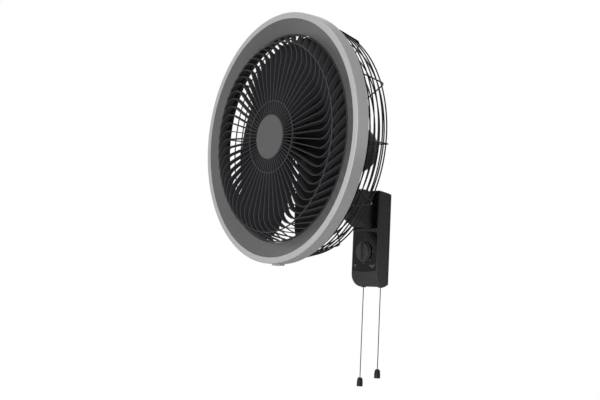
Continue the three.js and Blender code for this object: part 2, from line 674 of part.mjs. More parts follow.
function makePullSwitch(x) {
  const half = PULL_SWITCH_WIDTH / 2;
  const back = -REAR_CASE_DEPTH - FIT;
  const bottom = PULL_SWITCH_TOP_Z - PULL_SWITCH_HEIGHT;
  const body = box(x - half, x + half, back - PULL_SWITCH_DEPTH, back, bottom, PULL_SWITCH_TOP_Z);
  const boreTop = ROD_END_Z + PULL_ROD_LENGTH + FIT;
  const bore = bar('z', bottom - 1, boreTop, PULL_ROD_RADIUS + RUN, [x, CORD_Y, 0], 16);
  return body.subtract(bore);
}

function makeCordBush(x) {
  const bore = PULL_ROD_RADIUS + RUN;
  return revolveZ(
    [
      [bore, BUSH_MOUTH_Z],
      [BUSH_FLANGE_RADIUS, BUSH_MOUTH_Z],
      [BUSH_FLANGE_RADIUS, FLANGE_TOP_Z],
      [BUSH_RADIUS, FLANGE_TOP_Z],
      [BUSH_RADIUS, FLANGE_TOP_Z + BUSH_HEIGHT],
      [bore, FLANGE_TOP_Z + BUSH_HEIGHT],
    ],
    x,
    CORD_Y,
    14,
  );
}

function makePullRod(x) {
  return bar('z', ROD_END_Z, ROD_END_Z + PULL_ROD_LENGTH, PULL_ROD_RADIUS, [x, CORD_Y, 0], 12);
}

function makePullCord(x, reachZ) {
  const bottom = reachZ + GRIP_HEIGHT + FIT;
  const path = new THREE.LineCurve3(
    new THREE.Vector3(x, CORD_Y, CORD_TOP_Z),
    new THREE.Vector3(x, CORD_Y, bottom),
  );
  const section = new THREE.Shape();
  section.absarc(0, 0, CORD_RADIUS, 0, 2 * Math.PI);
  const steps = Math.round((CORD_TOP_Z - bottom) / CORD_STEP);
  return solidOf(new THREE.ExtrudeGeometry(section, { steps, curveSegments: 4, extrudePath: path }));
}

function makePullGrip(x, reachZ) {
  const top = reachZ + GRIP_HEIGHT;
  return revolveZ(
    [
      [0, reachZ],
      [GRIP_RADIUS - 0.6, reachZ],
      [GRIP_RADIUS, reachZ + 0.6],
      [GRIP_RADIUS, top - GRIP_DOME],
      [GRIP_RADIUS * 0.8, top - GRIP_DOME * 0.35],
      [0, top],
    ],
    x,
    CORD_Y,
    20,
  );
}

function makeRunCapacitor() {
  const back = -REAR_CASE_DEPTH - FIT;
  const half = CAPACITOR_WIDTH / 2;
  return extrudeZ(
    roundedRectangle(-half, half, back - CAPACITOR_DEPTH, back, 3),
    CAPACITOR_TOP_Z - CAPACITOR_HEIGHT,
    CAPACITOR_TOP_Z,
  );
}

// ---------------------------------------------------------------- swing bearing and drive
const SHELF_BOTTOM_Z = BRACKET_SHELF_TOP_Z - BRACKET_SHELF_THICKNESS;
const WASHER_TOP_Z = PAD_TOP_Z + FIT + WASHER_THICKNESS;
const BARREL_BOTTOM_Z = WASHER_TOP_Z + FIT;
const BARREL_TOP_Z = BRACKET_TOP_Z - BRACKET_SHELF_THICKNESS - RUN;
const GEAR_TOP_Z = GEAR_BOTTOM_Z + GEAR_THICKNESS;
const PLANET_Y = SWING_Y - (GEAR_MODULE * (SUN_TEETH + PLANET_TEETH)) / 2;
const BORE_RADIUS = PIN_RADIUS + RUN + BUSHING_WALL + FIT;

function makeSwingBracket() {
  const back = -REAR_CASE_DEPTH - FIT;
  const front = CASE_FRONT_Y + CASE_WALL + FIT;
  const half = BRACKET_HALF_WIDTH;
  const upright = box(-half, half, back - BRACKET_THICKNESS, back, SHELF_BOTTOM_Z, BRACKET_TOP_Z);
  const shelf = box(-half, half, front, back, SHELF_BOTTOM_Z, BRACKET_SHELF_TOP_Z);
  const tongue = BRACKET_TONGUE_RADIUS;
  const under = BRACKET_TOP_Z - BRACKET_SHELF_THICKNESS;
  const top = box(-tongue, tongue, SWING_Y, back, under, BRACKET_TOP_Z)
    .add(bar('z', under, BRACKET_TOP_Z, tongue, [0, SWING_Y, 0]));
  const hole = bar('z', 0, 2 * BRACKET_TOP_Z, PIN_RADIUS + FIT, [0, SWING_Y, 0]);
  return upright.add(shelf).add(top).subtract(hole);
}

function makeSwingPin() {
  const headTop = SHELF_BOTTOM_Z - FIT;
  const tip = BRACKET_TOP_Z + FIT + PIN_NUT_HEIGHT;
  return revolveZ(
    [
      [0, headTop - PIN_HEAD_HEIGHT],
      [PIN_HEAD_RADIUS, headTop - PIN_HEAD_HEIGHT],
      [PIN_HEAD_RADIUS, headTop],
      [PIN_RADIUS, headTop],
      [PIN_RADIUS, tip],
      [0, tip],
    ],
    0,
    SWING_Y,
    18,
  );
}

function makeSwingNut() {
  const bottom = BRACKET_TOP_Z + FIT;
  const nut = bar('z', bottom, bottom + PIN_NUT_HEIGHT, PIN_NUT_RADIUS, [0, SWING_Y, 0], 6);
  return nut.subtract(bar('z', bottom - 1, bottom + 10, PIN_RADIUS + FIT, [0, SWING_Y, 0]));
}

function makeSleeve(inner, outer, z0, z1) {
  return revolveZ([[inner, z0], [outer, z0], [outer, z1], [inner, z1]], 0, SWING_Y, 18);
}

/** Half of a tooth's width, as an angle, at a radius: an involute thinned by the backlash. */
function toothHalfAngle(teeth, radius) {
  const pressure = 20 * DEGREE;
  const pitchRadius = (GEAR_MODULE * teeth) / 2;
  const baseRadius = pitchRadius * Math.cos(pressure);
  const involute = (angle) => Math.tan(angle) - angle;
  const local = Math.acos(Math.min(1, baseRadius / Math.max(radius, baseRadius)));
  const thinned = GEAR_BACKLASH / 2 / pitchRadius;
  return Math.PI / (2 * teeth) + involute(pressure) - involute(local) - thinned;
}

/** A gear whose axis is the upright line through (0, axisY), with a tooth at an angle. */
function makeGear(teeth, axisY, toothAngle, boreRadius) {
  const pitchRadius = (GEAR_MODULE * teeth) / 2;
  const root = pitchRadius - 1.35 * GEAR_MODULE;
  const tip = pitchRadius + 0.95 * GEAR_MODULE;
  const flank = [root, tip];
  const points = [];
  const put = (radius, angle) => {
    points.push(new THREE.Vector2(radius * Math.cos(angle), axisY + radius * Math.sin(angle)));
  };
  for (let i = 0; i < teeth; i += 1) {
    const middle = toothAngle + (2 * Math.PI * i) / teeth;
    for (const radius of flank) put(radius, middle - toothHalfAngle(teeth, radius));
    for (const radius of [...flank].reverse()) put(radius, middle + toothHalfAngle(teeth, radius));
  }
  const gear = extrudeZ(new THREE.Shape(points), GEAR_BOTTOM_Z, GEAR_TOP_Z);
  return gear.subtract(bar('z', 0, 2 * GEAR_TOP_Z, boreRadius, [0, axisY, 0]));
}

function makeSwingMotor() {
  const centreY = PLANET_Y - SWING_MOTOR_OFFSET;
  const bottom = NECK_CAVITY_FLOOR_Z + FIT;
  const can = bar('z', bottom, bottom + SWING_MOTOR_HEIGHT, SWING_MOTOR_RADIUS, [0, centreY, 0], 32);
  const spindle = bar('z', bottom + 1, GEAR_TOP_Z - FIT, SWING_MOTOR_SHAFT_RADIUS, [0, PLANET_Y, 0], 16);
  return can.add(spindle);
}

// ---------------------------------------------------------------- neck
function neckSide() {
  const noseY = TILT_WORLD_Y - TILT_BOSS_RADIUS - NECK_NOSE_WALL;
  const noseZ = TILT_WORLD_Z - TILT_BOSS_RADIUS - 6;
  const shape = new THREE.Shape();
  shape.moveTo(NECK_BACK_Y, CHIN_START_Z);
  shape.lineTo(NECK_BACK_Y, NECK_TOP_Z);
  shape.lineTo(TILT_WORLD_Y + NECK_TOP_SETBACK, NECK_TOP_Z);
  shape.lineTo(noseY + 8, noseZ);
  shape.quadraticCurveTo(noseY, noseZ, noseY, noseZ - 8);
  shape.quadraticCurveTo(noseY + 6, CHIN_BEND_Z + 28, CHIN_BEND_Y, CHIN_BEND_Z);
  shape.lineTo(CHIN_MIDDLE_Y, CHIN_MIDDLE_Z);
  return shape;
}

/** Room for the front edge of the case's lid over the neck, at both ends of the swing. */
function makeLidRoom() {
  const reach = SWING_Y - CASE_FRONT_Y + RUN;
  const behind = box(-BEYOND, BEYOND, -reach, BEYOND, NECK_PASSING_Z, BEYOND);
  const atLimit = (turn) => behind.rotate([0, 0, turn]).translate([0, SWING_Y, 0]);
  return atLimit(-SWING_LIMIT).add(atLimit(SWING_LIMIT));
}

function makeNeckArm() {
  const barrel = bar('z', BARREL_BOTTOM_Z, BARREL_TOP_Z, BARREL_RADIUS, [0, SWING_Y, 0], 24);
  const into = NECK_BACK_Y - 1;
  const web = box(-WEB_HALF_WIDTH, WEB_HALF_WIDTH, into, SWING_Y, BARREL_BOTTOM_Z, BARREL_TOP_Z);
  const chamberRadius = PITCH_PLANET + GEAR_MODULE + RUN;
  const arm = extrudeX(neckSide(), -NECK_HALF_WIDTH, NECK_HALF_WIDTH, NECK_BEVEL);
  const tongue = TONGUE_HALF_WIDTH;
  const boss = bar('x', -tongue, tongue, TILT_BOSS_RADIUS, [0, TILT_WORLD_Y, TILT_WORLD_Z], 28);
  const stem = box(
    -tongue,
    tongue,
    TILT_WORLD_Y - TILT_BOSS_RADIUS,
    TILT_WORLD_Y + TILT_BOSS_RADIUS,
    TILT_WORLD_Z - 3 * TILT_BOSS_RADIUS,
    TILT_WORLD_Z,
  );
  const half = NECK_HALF_WIDTH - NECK_WALL;
  const hollow = box(
    -half,
    half,
    NECK_CAVITY_FRONT_Y,
    NECK_CAVITY_BACK_Y,
    NECK_CAVITY_FLOOR_Z,
    NECK_CAVITY_TOP_Z,
  );
  const opening = box(
    -half + 1,
    half - 1,
    NECK_CAVITY_FRONT_Y,
    NECK_LID_BACK_Y - NECK_LID_LEDGE,
    NECK_CAVITY_TOP_Z - 1,
    NECK_TOP_Z + 1,
  );
  const gearRoomZ = [GEAR_BOTTOM_Z - RUN, GEAR_TOP_Z + RUN];
  const sunRoom = bar('z', ...gearRoomZ, PITCH_SUN + GEAR_MODULE + RUN, [0, SWING_Y, 0], 20);
  const planetRoom = bar('z', ...gearRoomZ, chamberRadius, [0, PLANET_Y, 0], 24);
  const lidRecess = extrudeZ(lidPlan(FIT), NECK_TOP_Z - NECK_LID_THICKNESS - FIT, NECK_TOP_Z + 1);
  const bore = bar('z', 0, 2 * NECK_TOP_Z, BORE_RADIUS, [0, SWING_Y, 0], 18)
    .subtract(box(-BEYOND, BEYOND, -BEYOND, BEYOND, BARREL_TOP_Z, BEYOND));
  const cross = bar('x', -BEYOND, BEYOND, TILT_BOLT_RADIUS + FIT, [0, TILT_WORLD_Y, TILT_WORLD_Z], 20);
  return arm.subtract(makeLidRoom()).add(barrel).add(web).add(boss).add(stem)
    .subtract(hollow).subtract(opening).subtract(sunRoom).subtract(planetRoom)
    .subtract(lidRecess).subtract(bore).subtract(cross);
}

const PITCH_SUN = (GEAR_MODULE * SUN_TEETH) / 2;
const PITCH_PLANET = (GEAR_MODULE * PLANET_TEETH) / 2;

function lidPlan(grow) {
  const half = NECK_HALF_WIDTH - NECK_WALL + 1 + grow;
  const front = NECK_CAVITY_FRONT_Y - NECK_LID_LEDGE - grow;
  return roundedRectangle(-half, half, front, NECK_LID_BACK_Y + grow, 2);
}

function makeNeckLid() {
  return extrudeZ(lidPlan(0), NECK_TOP_Z - NECK_LID_THICKNESS, NECK_TOP_Z);
}

// ---------------------------------------------------------------- head: ring, dish and grille
const RING_FACE_BACK_Y = RING_CREASE + 0.9;

function makeSilverRing() {
  const back = RING_FACE_BACK_Y;
  const inner = RING_RADIUS - RING_WALL;
  return revolveY(
    [
      [RING_INNER_RADIUS, -RING_CROWN],
      [RING_RADIUS - RING_CREASE, -RING_CROWN / 2],
      [RING_RADIUS, RING_CREASE],
      [RING_RADIUS, RING_DEPTH],
      [inner, RING_DEPTH],
      [inner, back],
      [RING_INNER_RADIUS, back],
    ],
    RING_STEPS,
  );
}

function makeDishRing() {
  const edge = RING_INNER_RADIUS - FIT;
  const skirtOuter = RING_RADIUS - RING_WALL - FIT;
  const skirtInner = skirtOuter - DISH_WALL + 0.1;
  const flangeY = RING_FACE_BACK_Y + FIT;
  const skirtEndY = RING_DEPTH - DISH_SKIRT_STOP;
  return revolveY(
    [
      [edge, 0],
      [DISH_LIP_RADIUS, DISH_LIP_Y],
      [DISH_LIP_RADIUS, DUCT_END_Y],
      [DISH_LIP_RADIUS + DISH_WALL, DUCT_END_Y],
      [DISH_LIP_RADIUS + DISH_WALL, DISH_LIP_Y + DISH_WALL],
      [skirtInner, flangeY + DISH_WALL],
      [skirtInner, skirtEndY],
      [skirtOuter, skirtEndY],
      [skirtOuter, flangeY],
      [edge, flangeY],
    ],
    RING_STEPS,
  );
}

/** A latch hood on the ring's lowest point, curved to sit on the ring. */
function makeRingLatch() {
  const halfAngle = LATCH_WIDTH / 2 / RING_RADIUS;
  const inner = RING_RADIUS + FIT;
  const outer = inner + LATCH_PROUD;
  const down = -Math.PI / 2;
  const shape = new THREE.Shape();
  shape.absarc(0, 0, outer, down - halfAngle * 0.85, down + halfAngle * 0.85);
  shape.absarc(0, 0, inner, down + halfAngle, down - halfAngle, true);
  return extrudeY(shape, RING_DEPTH - LATCH_DEPTH, RING_DEPTH, 0.5);
}

const RIM_OUTER_RADIUS = DISH_LIP_RADIUS - RIM_GAP;
const RIM_INNER_RADIUS = RIM_OUTER_RADIUS - GRILLE_RIM_WIDTH;
const SHOULDER_RADIUS = GRILLE_OUTER_RING_RADIUS + GRILLE_RING_WIDTH;

/** Turn of a rib's middle line at a radius: radial to the bend, then leaning over to RIB_LEAN. */
function ribTurn(radius) {
  if (radius <= RIB_BEND_RADIUS) return 0;
  const curl = GRILLE_OUTER_RING_RADIUS - RIB_BEND_RADIUS;
  const steps = 24;
  let turn = 0;
  for (let i = 0; i < steps; i += 1) {
    const r = RIB_BEND_RADIUS + ((radius - RIB_BEND_RADIUS) * (i + 0.5)) / steps;
    const lean = RIB_LEAN * Math.min(1, (r - RIB_BEND_RADIUS) / curl);
    turn += (Math.tan(lean) * (radius - RIB_BEND_RADIUS)) / steps / r;
  }
  return turn;
}

/** Front edge of the ribs at a radius: a shallow crown, and a fall to the rim past the ring. */
function ribFrontY(radius) {
  const rise = GRILLE_SHOULDER_Y - GRILLE_FRONT_Y;
  if (radius <= SHOULDER_RADIUS) {
    return GRILLE_FRONT_Y + rise * (radius / SHOULDER_RADIUS) ** 3;
  }
  const share = (radius - SHOULDER_RADIUS) / (RIM_INNER_RADIUS - SHOULDER_RADIUS);
  return GRILLE_SHOULDER_Y + (GRILLE_RIM_FRONT_Y + 0.8 - GRILLE_SHOULDER_Y) * share;
}

/** One rib: a thin deep fin, straight from the hub and then swept round to the rim. */
function makeRib(number) {
  const first = (2 * Math.PI * number) / GRILLE_RIBS;
  const curl = GRILLE_OUTER_RING_RADIUS - RIB_BEND_RADIUS;
  const radii = [
    GRILLE_HUB_RADIUS - 2,
    RIB_BEND_RADIUS,
    RIB_BEND_RADIUS + curl * 0.55,
    SHOULDER_RADIUS,
    RIM_INNER_RADIUS + 0.8,
  ];
  const rings = radii.map((radius) => {
    const angle = first + ribTurn(radius);
    const lean = RIB_LEAN * Math.min(1, Math.max(0, (radius - RIB_BEND_RADIUS) / curl));
    const across = angle + lean + Math.PI / 2;
    const x = radius * Math.cos(angle);
    const z = radius * Math.sin(angle);
    const dx = (RIB_THICKNESS / 2) * Math.cos(across);
    const dz = (RIB_THICKNESS / 2) * Math.sin(across);
    const front = ribFrontY(radius);
    const back = Math.min(front + RIB_DEPTH, GRILLE_RIM_FRONT_Y + GRILLE_RIM_DEPTH - 1);
    return [
      new THREE.Vector3(x + dx, front, z + dz),
      new THREE.Vector3(x - dx, front, z - dz),
      new THREE.Vector3(x - dx, back, z - dz),
      new THREE.Vector3(x + dx, back, z + dz),
    ];
  });
  return loft(rings);
}

/** Start angle that puts the corners of a ring inside the ribs that cross it. */
function ribStart(radius) {
  return Math.PI / 2 - ribTurn(radius);
}

function flatRing(radius, width, frontY, depth, steps, start = 0) {
  const inner = radius - width / 2;
  const outer = radius + width / 2;
  const back = frontY + depth;
  return revolveY([[inner, frontY], [outer, frontY], [outer, back], [inner, back]], steps, start);
}

/** A thin ring set just behind the front edges of the ribs that it ties together. */
function thinRing(radius) {
  const front = ribFrontY(radius) + GRILLE_RING_SINK;
  const start = ribStart(radius);
  return flatRing(radius, GRILLE_RING_WIDTH, front, GRILLE_RING_DEPTH, GRILLE_RIBS, start);
}

function makeFrontGrille() {
  const hubFront = GRILLE_FRONT_Y - GRILLE_HUB_PROUD;
  const hubWall = GRILLE_HUB_RADIUS - GRILLE_HUB_WALL;
  const betweenRibs = Math.PI / GRILLE_RIBS;
  const hub = revolveY(
    [
      [hubWall - 4, hubFront],
      [GRILLE_HUB_RADIUS, hubFront],
      [GRILLE_HUB_RADIUS, hubFront + GRILLE_HUB_DEPTH],
      [hubWall, hubFront + GRILLE_HUB_DEPTH],
    ],
    HUB_SIDES,
    ribStart(GRILLE_HUB_RADIUS) + betweenRibs,
  );
  const hubPlate = flatRing(
    (hubWall + HUB_CAP_STEM_RADIUS + FIT) / 2,
    hubWall - HUB_CAP_STEM_RADIUS - FIT,
    hubFront,
    GRILLE_HUB_THICKNESS,
    HUB_SIDES,
    ribStart(GRILLE_HUB_RADIUS) + betweenRibs,
  );
  const rim = flatRing(
    RIM_OUTER_RADIUS - GRILLE_RIM_WIDTH / 2,
    GRILLE_RIM_WIDTH,
    GRILLE_RIM_FRONT_Y,
    GRILLE_RIM_DEPTH,
    GRILLE_RIBS,
    ribStart(RIM_OUTER_RADIUS) + betweenRibs,
  );
  let grille = hub
    .add(hubPlate)
    .add(thinRing(GRILLE_INNER_RING_RADIUS))
    .add(thinRing(GRILLE_OUTER_RING_RADIUS))
    .add(rim);
  for (let i = 0; i < GRILLE_RIBS; i += 1) grille = grille.add(makeRib(i));
  return grille;
}

function makeHubCap() {
  const back = GRILLE_FRONT_Y - GRILLE_HUB_PROUD - FIT;
  const front = back - HUB_CAP_THICKNESS;
  return revolveY(
    [
      [0, front - 0.4],
      [HUB_CAP_RADIUS - 0.8, front],
      [HUB_CAP_RADIUS, front + 0.8],
      [HUB_CAP_RADIUS, back],
      [HUB_CAP_STEM_RADIUS, back],
      [HUB_CAP_STEM_RADIUS, back + GRILLE_HUB_THICKNESS + 2],
      [0, back + GRILLE_HUB_THICKNESS + 2],
    ],
    24,
  );
}

// ---------------------------------------------------------------- head: rear guard
const SPOKE_OFFSET = 2 * WIRE_RADIUS - WELD_SINK;
const GUARD_PLATE_BACK_Y = GUARD_BACK_Y + SPOKE_OFFSET + WIRE_RADIUS / 2;
const SIDE_RUN = GUARD_SHOULDER_Y - GUARD_FIRST_RING_Y;
const SIDE_SLOPE = (GUARD_SHOULDER_RADIUS - GUARD_FIRST_RING_RADIUS) / SIDE_RUN;

/** A wire ring with one corner of its section turned towards the spokes that cross it. */
function wireRing(radius, y, toSpokes) {
  const steps = radius > 85 ? 2 * GUARD_SPOKES : GUARD_SPOKES;
  const halfStep = Math.PI / steps;
  const profile = [];
  for (let i = 0; i < WIRE_SIDES; i += 1) {
    const turn = toSpokes + (2 * Math.PI * i) / WIRE_SIDES;
    const r = radius + WIRE_RADIUS * Math.cos(turn);
    profile.push([r / Math.cos(halfStep), y + WIRE_RADIUS * Math.sin(turn)]);
  }
  return revolveY(profile, steps, Math.PI / 2 - GUARD_FIRST_SPOKE - halfStep);
}

/** One spoke: along the basket's side, round its shoulder and in across its back. */
function makeSpoke(number) {
  const angle = GUARD_FIRST_SPOKE + (2 * Math.PI * number) / GUARD_SPOKES;
  const sideRadius = (y) => GUARD_SHOULDER_RADIUS + SPOKE_OFFSET + SIDE_SLOPE * (y - GUARD_SHOULDER_Y);
  const backY = GUARD_BACK_Y + SPOKE_OFFSET;
  const cornerRadius = sideRadius(backY);
  const route = [
    [GUARD_RIM_RADIUS + SPOKE_OFFSET, GUARD_RIM_Y - WIRE_RADIUS],
    [sideRadius(GUARD_FIRST_RING_Y), GUARD_FIRST_RING_Y],
    [sideRadius(backY - GUARD_BEND), backY - GUARD_BEND],
    [cornerRadius - GUARD_BEND * 0.25, backY - GUARD_BEND * 0.25],
    [cornerRadius - GUARD_BEND, backY],
    [GUARD_PLATE_RADIUS - 6, backY],
  ];
  const rings = route.map(([radius, y], i) => {
    const [r0, y0] = route[Math.max(0, i - 1)];
    const [r1, y1] = route[Math.min(route.length - 1, i + 1)];
    const along = new THREE.Vector2(r1 - r0, y1 - y0).normalize();
    return [0, 1, 2].map((corner) => {
      const turn = (2 * Math.PI * corner) / WIRE_SIDES;
      const up = WIRE_RADIUS * Math.cos(turn);
      const side = WIRE_RADIUS * Math.sin(turn);
      const r = radius - up * along.y;
      return new THREE.Vector3(
        r * Math.cos(angle) - side * Math.sin(angle),
        y + up * along.x,
        r * Math.sin(angle) + side * Math.cos(angle),
      );
    });
  });
  return loft(rings);
}

function makeRearGuard() {
  let guard = flatRing(
    (GUARD_PLATE_RADIUS + MOTOR_BOSS_RADIUS + FIT) / 2,
    GUARD_PLATE_RADIUS - MOTOR_BOSS_RADIUS - FIT,
    GUARD_PLATE_BACK_Y - GUARD_PLATE_THICKNESS,
    GUARD_PLATE_THICKNESS,
    24,
  );
  for (let i = 0; i < GUARD_SPOKES; i += 1) guard = guard.add(makeSpoke(i));
  guard = guard.add(wireRing(GUARD_RIM_RADIUS, GUARD_RIM_Y, 0));
  for (let i = 0; i < GUARD_SIDE_RINGS; i += 1) {
    const share = i / (GUARD_SIDE_RINGS - 1);
    const radius = GUARD_FIRST_RING_RADIUS + (GUARD_SHOULDER_RADIUS - GUARD_FIRST_RING_RADIUS) * share;
    const y = GUARD_FIRST_RING_Y + (GUARD_SHOULDER_Y - GUARD_FIRST_RING_Y) * share;
    guard = guard.add(wireRing(radius, y, 0));
  }
  for (let i = 0; i < GUARD_BACK_RINGS; i += 1) {
    const radius = GUARD_BACK_FIRST_RADIUS - i * GUARD_BACK_PITCH;
    guard = guard.add(wireRing(radius, GUARD_BACK_Y, Math.PI / 2));
  }
  return guard;
}

function makeGuardNut() {
  const back = GUARD_PLATE_BACK_Y - GUARD_PLATE_THICKNESS - FIT;
  return flatRing(
    (GUARD_NUT_RADIUS + MOTOR_BOSS_RADIUS + FIT) / 2,
    GUARD_NUT_RADIUS - MOTOR_BOSS_RADIUS - FIT,
    back - GUARD_NUT_THICKNESS,
    GUARD_NUT_THICKNESS,
    20,
  );
}

// ---------------------------------------------------------------- rotor: impeller and shaft
/** One blade: a helicoid whose rear edge leads, wider at its root and rounded at its tip. */
function makeBlade(number) {
  const turn = BLADE_REAR_ANGLE + (2 * Math.PI * number) / BLADES;
  const lead = (BLADE_REAR_Y - BLADE_TIP_FRONT_Y) / BLADE_TIP_SPAN;
  const spanSteps = 5;
  const chordSteps = 5;
  const inner = BLADE_HUB_RADIUS - BLADE_HUB_WALL / 2;
  const half = BLADE_THICKNESS / 2;
  const rings = [];
  for (let i = 0; i <= spanSteps; i += 1) {
    const share = i / spanSteps;
    const radius = inner + (BLADE_TIP_RADIUS - inner) * Math.sin((share * Math.PI) / 2) ** 0.85;
    const over = Math.max(0, (radius - BLADE_TIP_RADIUS + BLADE_CORNER) / BLADE_CORNER);
    const corner = (BLADE_CORNER / BLADE_TIP_RADIUS) * (1 - Math.sqrt(Math.max(0, 1 - over ** 2)));
    const rear = corner;
    const extra = BLADE_ROOT_EXTRA * (1 - radius / BLADE_TIP_RADIUS);
    const front = BLADE_TIP_SPAN + extra - corner;
    const upper = [];
    const lower = [];
    for (let j = 0; j <= chordSteps; j += 1) {
      const chord = rear + ((front - rear) * j) / chordSteps;
      const angle = turn + chord;
      const pitch = Math.atan2(lead, radius);
      const thin = j === 0 || j === chordSteps ? 0.35 : 1;
      const push = half * thin;
      const y = BLADE_REAR_Y - BLADE_THICKNESS / 2 - lead * chord;
      const x = radius * Math.cos(angle);
      const z = radius * Math.sin(angle);
      const sideX = -Math.sin(angle) * Math.sin(pitch);
      const sideZ = Math.cos(angle) * Math.sin(pitch);
      upper.push(new THREE.Vector3(x + push * sideX, y + push * Math.cos(pitch), z + push * sideZ));
      lower.push(new THREE.Vector3(x - push * sideX, y - push * Math.cos(pitch), z - push * sideZ));
    }
    rings.push([...upper, ...lower.reverse()]);
  }
  return loft(rings);
}

function makeImpeller() {
  const outer = BLADE_HUB_RADIUS;
  const inner = outer - BLADE_HUB_WALL;
  const webY = BLADE_HUB_FRONT_Y + 8;
  const hub = revolveY(
    [
      [SHAFT_RADIUS + FIT, webY - 6],
      [SPINNER_RADIUS, webY - 6],
      [inner, BLADE_HUB_FRONT_Y],
      [outer, BLADE_HUB_FRONT_Y + 3],
      [outer, BLADE_HUB_BACK_Y],
      [inner, BLADE_HUB_BACK_Y],
      [inner, webY + 4],
      [SHAFT_RADIUS + 6, webY + 4],
      [SHAFT_RADIUS + 6, webY + 30],
      [SHAFT_RADIUS + FIT, webY + 30],
    ],
    24,
  );
  let impeller = hub;
  for (let i = 0; i < BLADES; i += 1) impeller = impeller.add(makeBlade(i));
  const hollow = revolveY(
    [
      [SHAFT_RADIUS + 6, webY + 4],
      [inner, webY + 4],
      [inner, BLADE_REAR_Y + 5],
      [SHAFT_RADIUS + 6, BLADE_REAR_Y + 5],
    ],
    24,
  );
  return impeller.subtract(hollow);
}

function makeSpinnerNut() {
  const back = BLADE_HUB_FRONT_Y + 0.8;
  const front = back - SPINNER_HEIGHT;
  return revolveY(
    [
      [0, front],
      [SPINNER_RADIUS * 0.55, front + 0.5],
      [SPINNER_RADIUS * 0.9, front + 3],
      [SPINNER_RADIUS, back - 2],
      [SPINNER_RADIUS, back],
      [SHAFT_RADIUS + FIT, back],
      [SHAFT_RADIUS + FIT, SHAFT_FRONT_Y - FIT],
      [0, SHAFT_FRONT_Y - FIT],
    ],
    24,
  );
}

function makeMotorShaft() {
  return bar('y', SHAFT_FRONT_Y, SHAFT_BACK_Y, SHAFT_RADIUS, [0, 0, 0], 24);
}

function makeRotorCore() {
  return flatRing(
    (STATOR_BORE_RADIUS - AIR_GAP + SHAFT_RADIUS + FIT) / 2,
    STATOR_BORE_RADIUS - AIR_GAP - SHAFT_RADIUS - FIT,
    STATOR_FRONT_Y,
    STATOR_LENGTH,
    CORE_STEPS,
  );
}

// ---------------------------------------------------------------- head: motor
function makeMotorHousing() {
  const seat = BEARING_RADIUS + FIT;
  const bossEnd = FRONT_BEARING_Y + BEARING_WIDTH + FIT;
  const wallY = MOTOR_FRONT_Y + MOTOR_WALL + 0.5;
  const inner = MOTOR_RADIUS - MOTOR_WALL;
  const bore = SHAFT_RADIUS + RUN;
  const body = revolveY(
    [
      [bore, MOTOR_FRONT_Y - MOTOR_BOSS_LENGTH],
      [MOTOR_BOSS_RADIUS, MOTOR_FRONT_Y - MOTOR_BOSS_LENGTH],
      [MOTOR_BOSS_RADIUS, MOTOR_FRONT_Y],
      [MOTOR_RADIUS - 4, MOTOR_FRONT_Y],
      [MOTOR_RADIUS, MOTOR_FRONT_Y + 4],
      [MOTOR_RADIUS, MOTOR_JOINT_Y],
      [inner, MOTOR_JOINT_Y],
      [inner, wallY],
      [seat + 3.5, bossEnd],
      [seat, bossEnd],
      [seat, FRONT_BEARING_Y - FIT],
      [bore, FRONT_BEARING_Y - FIT],
    ],
    MOTOR_STEPS,
  );
  const ear = new THREE.Shape();
  const topZ = -Math.sqrt((MOTOR_RADIUS - MOTOR_WALL / 2) ** 2 - TONGUE_HALF_WIDTH ** 2);
  ear.moveTo(TILT_Y + TILT_BOSS_RADIUS + 2, topZ);
  ear.lineTo(TILT_Y - TILT_BOSS_RADIUS - 2, topZ);
  ear.absarc(TILT_Y, TILT_Z, TILT_BOSS_RADIUS, Math.PI, 2 * Math.PI);
  const gap = TONGUE_HALF_WIDTH + FIT;
  const left = extrudeX(ear, -gap - TILT_EAR_THICKNESS, -gap);
  const right = extrudeX(ear, gap, gap + TILT_EAR_THICKNESS);
  const cross = bar('x', -BEYOND, BEYOND, TILT_BOLT_RADIUS + FIT, [0, TILT_Y, TILT_Z], 20);
  return body.add(left).add(right).subtract(cross);
}

function makeMotorDome() {
  const start = MOTOR_JOINT_Y + FIT;
  const wall = DOME_WALL;
  const outer = [
    [MOTOR_RADIUS, start],
    [DOME_SHOULDER_RADIUS, DOME_SHOULDER_Y],
    [DOME_SHOULDER_RADIUS - 3, DOME_SHOULDER_Y + 9],
    [DOME_END_RADIUS + 7, DOME_END_Y - 4],
    [DOME_END_RADIUS, DOME_END_Y - 1],
    [0, DOME_END_Y],
  ];
  const inner = [
    [0, DOME_END_Y - wall],
    [DOME_END_RADIUS - 1, DOME_END_Y - 1 - wall],
    [DOME_SHOULDER_RADIUS - 3 - wall, DOME_SHOULDER_Y + 8],
    [MOTOR_RADIUS - wall, start],
  ];
  return revolveY([...outer, ...inner], MOTOR_STEPS);
}

function makeStator() {
  const outer = MOTOR_RADIUS - MOTOR_WALL - RUN;
  const back = STATOR_FRONT_Y + STATOR_LENGTH;
  const over = WINDING_OVERHANG;
  return revolveY(
    [
      [STATOR_BORE_RADIUS, STATOR_FRONT_Y],
      [WINDING_INNER_RADIUS, STATOR_FRONT_Y - over],
      [WINDING_OUTER_RADIUS, STATOR_FRONT_Y - over],
      [outer, STATOR_FRONT_Y],
      [outer, back],
      [WINDING_OUTER_RADIUS, back + over],
      [WINDING_INNER_RADIUS, back + over],
      [STATOR_BORE_RADIUS, back],
    ],
    CORE_STEPS,
  );
}

function makeBearing(frontY) {
  return flatRing(
    (BEARING_RADIUS + SHAFT_RADIUS + FIT) / 2,
    BEARING_RADIUS - SHAFT_RADIUS - FIT,
    frontY,
    BEARING_WIDTH,
    18,
  );
}

